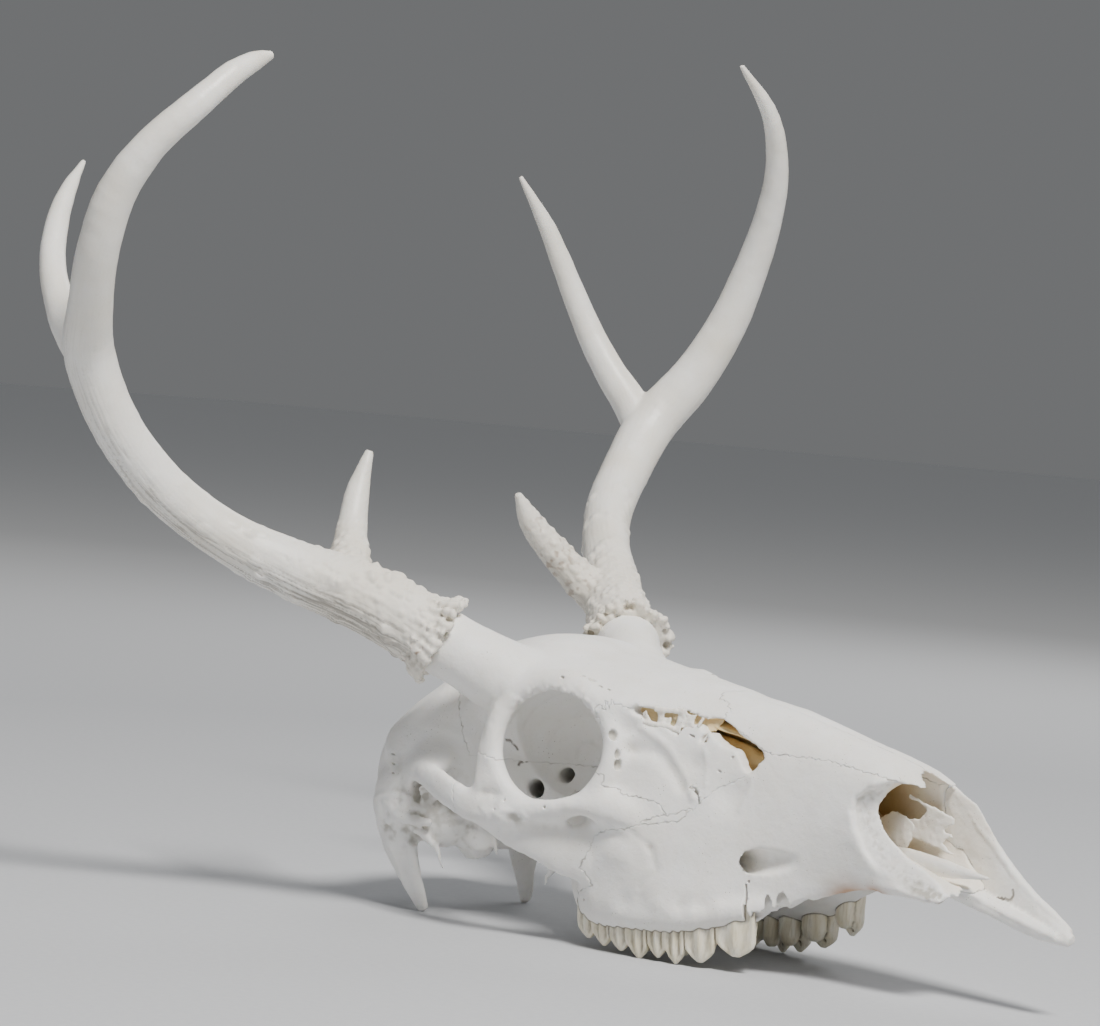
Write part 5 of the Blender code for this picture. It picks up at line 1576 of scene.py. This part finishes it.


# %% [markdown]
# What each point of a surface knows
#
# Hollows are darker, partly for dirt and partly as painted shade; seams gather dirt, and the inside
# of the nose is thinner and more yellow than the outside. Each bone also keeps a few old stains.
# These facts are measured on the mesh and kept as attributes, so the materials can read them, and a
# render from any side shows the same bone.

# %% Store values, and measure hollows
def store(body, name, values):
    """Keep one number, or three, for every point."""
    values = numpy.asarray(values, dtype=numpy.float32)
    kind, field = ("FLOAT", "value") if values.ndim == 1 else ("FLOAT_VECTOR", "vector")
    layer = body.data.attributes.new(name, kind, "POINT")
    layer.data.foreach_set(field, values.ravel())


def neighbour_mean(ends, values):
    """The mean of each point's neighbours."""
    total, degree = numpy.zeros_like(values), numpy.zeros(len(values))
    for here, there in ((0, 1), (1, 0)):
        degree += numpy.bincount(ends[:, here], minlength=len(values))
        for axis in range(values.shape[1]):
            theirs = values[ends[:, there], axis]
            total[:, axis] += numpy.bincount(ends[:, here], theirs, len(values))
    return total / numpy.maximum(degree, 1.0)[:, None]


def hollowness(body, spread):
    """Above 0 where the surface is hollow, below 0 where it bulges, in mm over a few grains."""
    places, normals = vertex_table(body)
    ends = edge_ends(body)
    mean = places
    for step in range(spread):
        mean = neighbour_mean(ends, mean)
    return ((mean - places) * normals).sum(axis=1)


print("hollowest point of the braincase", round(float(hollowness(skull, 4).max()), 2))


# %% Inner walls and neighbours
def inner_share(places, normals):
    """1 on walls that face the axis of the nose cavity, 0 outside."""
    along_nose = numpy.linspace(-165, -15, 76)
    rows = numpy.array([smooth_row(NOSE_CAVITY, x) for x in along_nose])
    half, low, high = (numpy.interp(places[:, 0], along_nose, rows[:, k]) for k in range(3))
    inside_ends = (numpy.clip((places[:, 0] + 160) / 6, 0, 1)
                   * numpy.clip((-24 - places[:, 0]) / 8, 0, 1))
    side_gap = half + 1.6 - abs(places[:, 1])
    height_gap = numpy.minimum(high + 1.6 - places[:, 2], places[:, 2] - low + 1.6)
    axis = low * 0.55 + high * 0.45
    towards = numpy.column_stack([-places[:, 1] / half,
                                  (axis - places[:, 2]) / (high - low) * 2.0])
    towards /= numpy.maximum(numpy.linalg.norm(towards, axis=1), 1e-6)[:, None]
    facing = numpy.clip(((towards * normals[:, 1:]).sum(axis=1) - 0.05) / 0.4, 0, 1)
    depth = numpy.clip((-46 - places[:, 0]) / 30, 0.25, 1.0)
    inside = numpy.clip(numpy.minimum(side_gap, height_gap) / 0.6, 0, 1)
    return inside * inside_ends * facing * depth


def near_others(body, others):
    """1 where another bone is a hair's breadth away, 0 from half a millimetre."""
    places = vertex_table(body)[0]
    low, high = places.min(axis=0) - 1.0, places.max(axis=0) + 1.0
    close = [table[((table > low) & (table < high)).all(axis=1)]
             for name, table in others.items() if name != body.name]
    close = numpy.concatenate(close)
    tree = KDTree(len(close))
    for number, point in enumerate(close):
        tree.insert(point, number)
    tree.balance()
    gaps = numpy.array([tree.find(point)[2] if len(close) else 9.0 for point in places])
    return numpy.clip(1.35 - gaps / 0.42, 0.0, 1.0)


print("share of the braincase that lines the nose",
      round(float(inner_share(*vertex_table(skull)).mean()), 3))

# %% Pale seams, stains, and spots of dirt and painted shade
# Where the seams are closed and pale, and where old stain stays: x, distance from the midline, z,
# reach
PALE_SEAMS = ((-113, 27, 63, 9), (-80, 18, 74, 18), (-150, 0, 98, 70), (-214, 42, 62, 24))
STAINS = ((-70, 14, 29.5, 8), (-58, 14, 31, 5))
# Hollows greyed partly by dirt and partly by painted shade: x, distance from the midline, z, reach
DIRT_AND_SHADE_SPOTS = (
    (-238, 38, 41, 12), (-246, 38, 46, 6), (-252, 37, 31, 5), (-262, 40, 31, 4), (-36, 14, 31, 5),
    (-41, 15, 33, 4), (-189, 54, 43, 3.5),
)


def near_places(places, spots):
    """1 at any of the spots (x, distance from the midline, z, reach), 0 away from them."""
    folded = on_left(places)
    return numpy.max([closeness(folded, spot, reach) for *spot, reach in spots], axis=0)


def rim_face_share(places, normals):
    """1 on the rough face of the near front rim, more at its lower end."""
    near = numpy.exp(-(line_distance(places * (1.0, -1.0, 1.0), RIM_FACE) / 3.0) ** 4)
    lower = numpy.clip((-30 - places[:, 0]) / -10 + 1.6, 0.55, 1.6)
    return near * (normals[:, 0] > 0.15) * lower


def seam_share(piece, places):
    """1 along seams and drawn lines; the seams of a bone darken unevenly."""
    seam = near_others(piece, tables) * (1.0 - 0.8 * near_places(places, PALE_SEAMS))
    if piece in bones:
        seam *= numpy.clip(0.55 + 1.3 * clouds(places, 5.0, 2, 8.0), 0.1, 1.0)
    for bone, path in drawn:
        if bone == piece:
            seam = numpy.maximum(seam, numpy.exp(-(line_distance(places, path) / 0.6) ** 4))
    return seam


print("dirty hollows", len(DIRT_AND_SHADE_SPOTS), "stains", len(STAINS))

# %% Store the attributes
tables = {piece.name: vertex_table(piece)[0] for piece in bones + teeth}
for piece in bones + teeth:
    places, normals = vertex_table(piece)
    shade_and_dirt = near_places(places, DIRT_AND_SHADE_SPOTS) * numpy.clip(0.7 + clouds(places, 3.0, 2, 4.0), 0, 1)
    streaks = numpy.clip(0.45 + 1.4 * clouds(places, 1.6, 2, 4.0), 0, 1)
    # hollow: concave places and the listed spots, which the materials grey as painted shade with
    # some dirt
    hollow = hollowness(piece, 4 if piece in bones else 12) + 0.70 * shade_and_dirt
    store(piece, "hollow", hollow + 0.55 * rim_face_share(places, normals) * streaks)
    store(piece, "seam", seam_share(piece, places))
    share = 0.6 if piece in (vomer, premaxilla) else 1.0
    store(piece, "inner", inner_share(places, normals) * share)
    store(piece, "stain", near_places(places, STAINS) * numpy.clip(-normals[:, 2] + 0.2, 0, 1))
for piece in scrolls:
    deep = numpy.clip((-62 - vertex_table(piece)[0][:, 0]) / 20, 0.12, 1.0)
    deep *= 0.15 if "lattice" in piece.name else 0.9 if "backing" in piece.name else 1.0
    store(piece, "inner", deep)
    for name in ("seam", "hollow", "stain"):
        store(piece, name, 0 * deep)
for side, piece in antlers.items():
    for name, values in furrows[side].items():
        store(piece, name, values)
    store(piece, "hollow", hollowness(piece, 3))
print("attributes on", len(bones + teeth) + len(antlers), "pieces")

# %% [markdown]
# Colours and nodes
#
# Colours are written as sRGB hex, as a colour chart gives them, and turned to the linear values
# that the shader mixes. One function adds a node, sets its sockets and links its inputs.

# %% Colour and node helpers
def hex_colour(code):
    """sRGB hex to linear red, green, blue and alpha."""
    parts = [int(code[i:i + 2], 16) / 255 for i in (1, 3, 5)]
    return (*[c / 12.92 if c <= 0.04045 else ((c + 0.055) / 1.055) ** 2.4 for c in parts], 1.0)


def add(tree, kind, output, inputs, **settings):
    """Add a node, hand over one output. An input takes another node's output or a plain value."""
    node = tree.nodes.new("ShaderNode" + kind)
    for name, value in settings.items():
        setattr(node, name, value)
    for name, value in inputs.items():
        if isinstance(value, bpy.types.NodeSocket):
            tree.links.new(value, node.inputs[name])
        else:
            node.inputs[name].default_value = value
    return None if output is None else node.outputs[output]


def per_metre(size):
    """The scale of a pattern whose features have a size in mm."""
    return 1.0 / (size * MM)


def new_material(name):
    """An empty material and its node tree."""
    material = bpy.data.materials.new(name)
    material.use_nodes = True
    tree = material.node_tree
    tree.nodes.clear()
    return material, tree


print("bleached bone in linear light", [round(c, 3) for c in hex_colour("#EFECE6")])

# %% [markdown]
# Bleached bone
#
# Bone is mineral in a web of collagen. Once it is boiled and bleached with peroxide it is
# off-white and matt, with a faint warm mottling, fine pores where vessels entered, grey in its
# hollows, partly dirt and partly painted shade, and brown lines in its seams. The thin walls inside
# the nose keep a honey colour.

# %% Coats of colour and the finished surface
def layered(tree, base, masks, coats):
    """Lay coats over a base colour. A mask without a node is an attribute of the mesh."""
    colour = hex_colour(base)
    for name, low, high, strength, over in coats:
        mask = masks.get(name) or add(tree, "Attribute", "Fac", {}, attribute_name=name,
                                      attribute_type="GEOMETRY")
        share = add(tree, "MapRange", "Result",
                    {"Value": mask, "From Min": low, "From Max": high, "To Max": strength})
        over = hex_colour(over) if isinstance(over, str) else over
        colour = add(tree, "Mix", 2, {0: share, 6: colour, 7: over},
                     data_type="RGBA", clamp_factor=True)
    return colour


def finish_surface(tree, colour, gloss, relief, shader):
    """Join colour, roughness and fine relief in one shader. Gloss: mask, smoothest, roughest."""
    mask, (low, high), (smoothest, roughest) = gloss
    height, strength, distance = relief
    rough = add(tree, "MapRange", "Result", {"Value": mask, "From Min": low, "From Max": high,
                                             "To Min": smoothest, "To Max": roughest})
    normal = add(tree, "Bump", "Normal",
                 {"Height": height, "Strength": strength, "Distance": distance})
    surface = add(tree, "BsdfPrincipled", "BSDF",
                  {"Base Color": colour, "Roughness": rough, "Normal": normal, **shader})
    add(tree, "OutputMaterial", None, {"Surface": surface})


# Mask, where it starts, where it is full, strength, colour
# The hollow coat greys concave places and the listed spots: partly dirt, partly painted shade.
BONE_COATS = (
    ("mottle", 0.38, 0.72, 1.0, "#EFECE5"), ("fine", 0.55, 0.78, 0.22, "#D3CEC2"),
    ("inner", 0.0, 1.0, 1.0, "honey"), ("stain", 0.05, 0.9, 0.8, "#B07A45"),
    ("hollow", 0.08, 0.60, 0.65, "#97907F"), ("specks", 0.0, 1.0, 1.0, "#8A8070"),
    ("seam", 0.2, 1.0, 0.80, "#6B6051"),
)
# On the teeth, the hollow and seam coats darken the folds and the gum line: partly brown film,
# partly painted shade.
ENAMEL_COATS = (
    ("cloud", 0.35, 0.70, 1.0, "#E0D6B8"), ("lines", 0.50, 0.72, 0.35, "#A89A76"),
    ("hollow", 0.04, 0.34, 0.80, "#6F6147"), ("seam", 0.0, 1.0, 0.90, "#4F4132"),
)
# On the antler, the streaked, furrow and hollow coats are partly stain and partly painted shade,
# mostly under the beam.
ANTLER_COATS = (
    ("cloud", 0.38, 0.70, 1.0, "#EAE5D9"), ("rough", 0.35, 1.0, 0.45, "#E2DACA"),
    ("fine", 0.55, 0.78, 0.22, "#CFC7B7"), ("streaked", 0.15, 0.9, 0.55, "#8F897F"),
    ("furrow", 0.25, 0.9, 0.6, "#8C857A"), ("hollow", 0.12, 0.50, 0.60, "#857A68"),
    ("stain", 0.15, 0.80, 0.85, "#7E5B3A"),
)
print("coats on bone, enamel and antler", len(BONE_COATS), len(ENAMEL_COATS), len(ANTLER_COATS))


# %% Bone material
def bone_material():
    """Matt off-white bone with mottling, pores, honey walls inside, and grey hollows, partly dirt
    and partly painted shade.
    """
    material, tree = new_material("bleached_bone")
    place = add(tree, "TexCoord", "Object", {})
    mottle = add(tree, "TexNoise", "Fac", {"Vector": place, "Scale": per_metre(22.0),
                                           "Detail": 4.0, "Roughness": 0.6})
    fine = add(tree, "TexNoise", "Fac", {"Vector": place, "Scale": per_metre(1.6),
                                         "Detail": 5.0, "Roughness": 0.65})
    patches = add(tree, "TexNoise", "Fac",
                  {"Vector": place, "Scale": per_metre(9.0), "Detail": 2.0})
    pores = add(tree, "TexVoronoi", "Distance",
                {"Vector": place, "Scale": per_metre(1.3), "Randomness": 1.0})
    pore_share = add(tree, "MapRange", "Result",
                     {"Value": pores, "From Min": 0.16, "From Max": 0.06})
    patch_share = add(tree, "MapRange", "Result",
                      {"Value": patches, "From Min": 0.50, "From Max": 0.66})
    specks = add(tree, "Math", 0, {0: pore_share, 1: patch_share}, operation="MULTIPLY")
    masks = {"mottle": mottle, "fine": fine, "specks": specks}
    honey = layered(tree, "#F2DFB2", masks, (("mottle", 0.40, 0.62, 1.0, "#E2C283"),))
    coats = [(*coat[:4], honey if coat[4] == "honey" else coat[4]) for coat in BONE_COATS]
    colour = layered(tree, "#F6F5F2", masks, coats)
    grain = add(tree, "Math", 0, {0: specks, 1: -0.8, 2: fine}, operation="MULTIPLY_ADD")
    finish_surface(tree, colour, (fine, (0.3, 0.7), (0.50, 0.68)), (grain, 0.55, 0.00035),
                   {"IOR": 1.54, "Subsurface Weight": 0.12, "Subsurface Radius": (1.0, 0.62, 0.38),
                    "Subsurface Scale": 0.0012})
    return material


def cover(pieces, material):
    """Give every face of the pieces this one material."""
    for piece in pieces:
        piece.data.materials.clear()
        piece.data.materials.append(material)
        slots = numpy.zeros(len(piece.data.polygons), dtype=numpy.int32)
        piece.data.polygons.foreach_set("material_index", slots)


BLEACHED_BONE = bone_material()
cover(bones + scrolls, BLEACHED_BONE)
print("bone material with", len(BLEACHED_BONE.node_tree.nodes), "nodes")

# %% [markdown]
# Tooth enamel
#
# Enamel is glassy, hard and slightly see-through, ivory over the yellow dentine. Grass and browse
# leave a brown film in its folds and along the gum, and painted shade darkens the same folds and
# the gum line, while the cusps are polished by chewing.


# %% Tooth material
def enamel_material():
    """Glossy ivory with brown folds and gum line, partly stain and partly painted shade."""
    material, tree = new_material("stained_enamel")
    place = add(tree, "TexCoord", "Object", {})
    drawn_out = {share: add(tree, "Mapping", "Vector",
                            {"Vector": place, "Scale": (1.0, 1.0, share)})
                 for share in (0.35, 0.12)}
    cloud = add(tree, "TexNoise", "Fac",
                {"Vector": drawn_out[0.35], "Scale": per_metre(4.0), "Detail": 4.0})
    lines = add(tree, "TexNoise", "Fac",
                {"Vector": drawn_out[0.12], "Scale": per_metre(0.8), "Detail": 3.0})
    colour = layered(tree, "#F1ECDC", {"cloud": cloud, "lines": lines}, ENAMEL_COATS)
    finish_surface(tree, colour, (cloud, (0.3, 0.7), (0.22, 0.42)), (lines, 0.25, 0.0002),
                   {"IOR": 1.62, "Subsurface Weight": 0.15, "Subsurface Radius": (1.0, 0.7, 0.45),
                    "Subsurface Scale": 0.0008})
    return material


cover(teeth, enamel_material())
print("teeth with enamel", len(teeth))

# %% [markdown]
# Antler
#
# Antler is bone as well, denser at the surface. Its pearls and tips are polished pale by rubbing
# on trees, while the furrows keep a grey-brown stain of bark and dried blood. Painted shade also
# greys the furrows, the hollows and streaks along the underside of the beam.


# %% Antler material
def antler_material():
    """Pale polished antler with grey-brown furrows, partly stain and partly painted shade, and
    painted shade in hollows and under the beam.
    """
    material, tree = new_material("rubbed_antler")
    place = add(tree, "TexCoord", "Object", {})
    cloud = add(tree, "TexNoise", "Fac",
                {"Vector": place, "Scale": per_metre(26.0), "Detail": 3.0})
    fine = add(tree, "TexNoise", "Fac", {"Vector": place, "Scale": per_metre(1.4),
                                         "Detail": 5.0, "Roughness": 0.65})
    known = {name: add(tree, "Attribute", "Vector" if name == "growth" else "Fac", {},
                       attribute_name=name, attribute_type="GEOMETRY")
             for name in ("rough", "under", "growth")}
    stretched = add(tree, "Mapping", "Vector",
                    {"Vector": known["growth"], "Scale": (1.0, 1.0, 0.035)})
    streak = add(tree, "TexNoise", "Fac", {"Vector": stretched, "Scale": 1.1, "Detail": 3.0})
    streak_share = add(tree, "MapRange", "Result",
                       {"Value": streak, "From Min": 0.50, "From Max": 0.62})
    streaked = add(tree, "Math", 0, {0: streak_share, 1: known["under"]}, operation="MULTIPLY")
    masks = {"cloud": cloud, "fine": fine, "rough": known["rough"], "streaked": streaked}
    colour = layered(tree, "#F4F2EC", masks, ANTLER_COATS)
    finish_surface(tree, colour, (known["rough"], (0.1, 0.9), (0.38, 0.62)), (fine, 0.4, 0.0003),
                   {"IOR": 1.54, "Subsurface Weight": 0.08, "Subsurface Radius": (1.0, 0.65, 0.4),
                    "Subsurface Scale": 0.001})
    return material


ANTLER = antler_material()
cover(antlers.values(), ANTLER)
print("antler material with", len(ANTLER.node_tree.nodes), "nodes")

# %% [markdown]
# Putting the pieces in their place
#
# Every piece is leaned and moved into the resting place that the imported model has. Each bone then
# stands for its own plain solid, and each antler for its four.

# %% Place and declare
ANTLER_NODES = ("_lower_beam", "_upper_beam", "_fork_tine", "_brow_tine")

for piece in bones + scrolls + teeth + list(antlers.values()):
    piece.data.transform(REST)
    places = vertex_table(piece)[0] * MM
    piece.data.vertices.foreach_set("co", numpy.clip(places, *numpy.array(CAD_BOX)).ravel())
    piece.data.shade_smooth()
for piece in bones:
    node = piece.name.split(".")[0]
    piece.name = "fine_" + node
    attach(piece, "root")
    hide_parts(node)
for piece in teeth:
    piece.name = piece.name + "_tooth"
for piece in teeth + scrolls:
    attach(piece, "root")
for side, piece in antlers.items():
    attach(piece, "root")
    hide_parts(*[SIDE_NAMES[side] + part for part in ANTLER_NODES])
print("placed", len(bones), "bones,", len(teeth), "teeth and", len(antlers), "antlers")

# %% [markdown]
# Table, light and camera
#
# The table is a wide pale sheet, painted lighter further out where the lamps light it less. A large
# soft lamp high on the right gives the rounded shading of bone, a weaker one fills the left, and a
# third lights the far antler from behind. The camera looks from the right front at the height of
# the eye sockets, with a long lens.

# %% Floor
FLOOR_HALF_SIZE = 14.0             # m
bm = bmesh.new()
bmesh.ops.create_grid(bm, x_segments=1, y_segments=1, size=FLOOR_HALF_SIZE / MM)
floor = to_object(bm, "table_top")
material, tree = new_material("pale_matt_paper")
here = add(tree, "TexCoord", "Object", {})
fibres = add(tree, "TexNoise", "Fac", {"Vector": here, "Scale": per_metre(3.0), "Detail": 3.0})
# Painted light: the floor's colour turns near white from 0.8 m to 2.4 m from its middle, where the
# lamps light it less.
distance = add(tree, "VectorMath", "Value", {0: here}, operation="LENGTH")
paper = layered(tree, "#C2C4C7", {"fibres": fibres, "distance": distance},
                (("fibres", 0.3, 0.7, 1.0, "#BDBFC3"), ("distance", 0.8, 2.4, 1.0, "#F8F9FA")))
shader = add(tree, "BsdfPrincipled", "BSDF", {"Base Color": paper, "Roughness": 0.85})
add(tree, "OutputMaterial", None, {"Surface": shader})
floor.data.materials.append(material)
print("floor size in m", [round(side, 2) for side in floor.dimensions])


# %% Lamps
def lamp(name, place, aim, power, size, colour):
    """A square soft lamp that points at its aim."""
    made = bpy.data.objects.new(name, bpy.data.lights.new(name, "AREA"))
    made.data.energy, made.data.size = power, size
    made.data.color = hex_colour(colour)[:3]
    made.location = place
    made.rotation_euler = (Vector(aim) - Vector(place)).to_track_quat("-Z", "Y").to_euler()
    bpy.context.scene.collection.objects.link(made)


MIDDLE = (0.0, 0.0, 0.12)          # what the lamps point at, m
# Name, place in m, power in W, size in m, colour
LAMPS = (("key_lamp", (1.05, -0.55, 1.75), 64.0, 0.5, "#FFFCF8"),
         ("fill_lamp", (-0.8, -1.5, 0.7), 3.0, 1.2, "#F6F8FF"),
         ("back_lamp", (-0.6, 1.4, 1.2), 10.0, 1.0, "#FFFFFF"))
for name, place, power, size, colour in LAMPS:
    lamp(name, place, MIDDLE, power, size, colour)
ROOM_COLOUR, ROOM_STRENGTH = "#C8CACC", 0.28
world = bpy.data.worlds.new("studio")
world.use_nodes = True
background = world.node_tree.nodes["Background"]
background.inputs["Color"].default_value = hex_colour(ROOM_COLOUR)
background.inputs["Strength"].default_value = ROOM_STRENGTH
bpy.context.scene.world = world
print("lamps", len(LAMPS))

# %% Camera
AZIMUTH, ELEVATION, ROLL = (math.radians(angle) for angle in (39.682, 0.853, 3.551))
CAMERA_AIM = Vector((-226.468, 0.0, 152.293))
CAMERA_DISTANCE = 1397.178
FOCAL_PIXELS, PICTURE_WIDTH = 3720.432, 1100
SENSOR_WIDTH = 36.0                # mm
back = Vector((math.sin(AZIMUTH) * math.cos(ELEVATION), -math.cos(AZIMUTH) * math.cos(ELEVATION),
               math.sin(ELEVATION)))
right = Vector((math.cos(AZIMUTH), math.sin(AZIMUTH), 0.0))
up = back.cross(right)
rolled_right = right * math.cos(ROLL) + up * math.sin(ROLL)
rolled_up = up * math.cos(ROLL) - right * math.sin(ROLL)
stand = (CAMERA_AIM + back * CAMERA_DISTANCE) * MM
camera = bpy.data.objects.new("camera", bpy.data.cameras.new("camera"))
camera.data.sensor_width = SENSOR_WIDTH
camera.data.lens = FOCAL_PIXELS * SENSOR_WIDTH / PICTURE_WIDTH
camera.matrix_world = REST @ (Matrix.Translation(stand)
                              @ Matrix((rolled_right, rolled_up, back)).transposed().to_4x4())
bpy.context.scene.collection.objects.link(camera)
bpy.context.scene.camera = camera
print("lens in mm", round(camera.data.lens, 1))
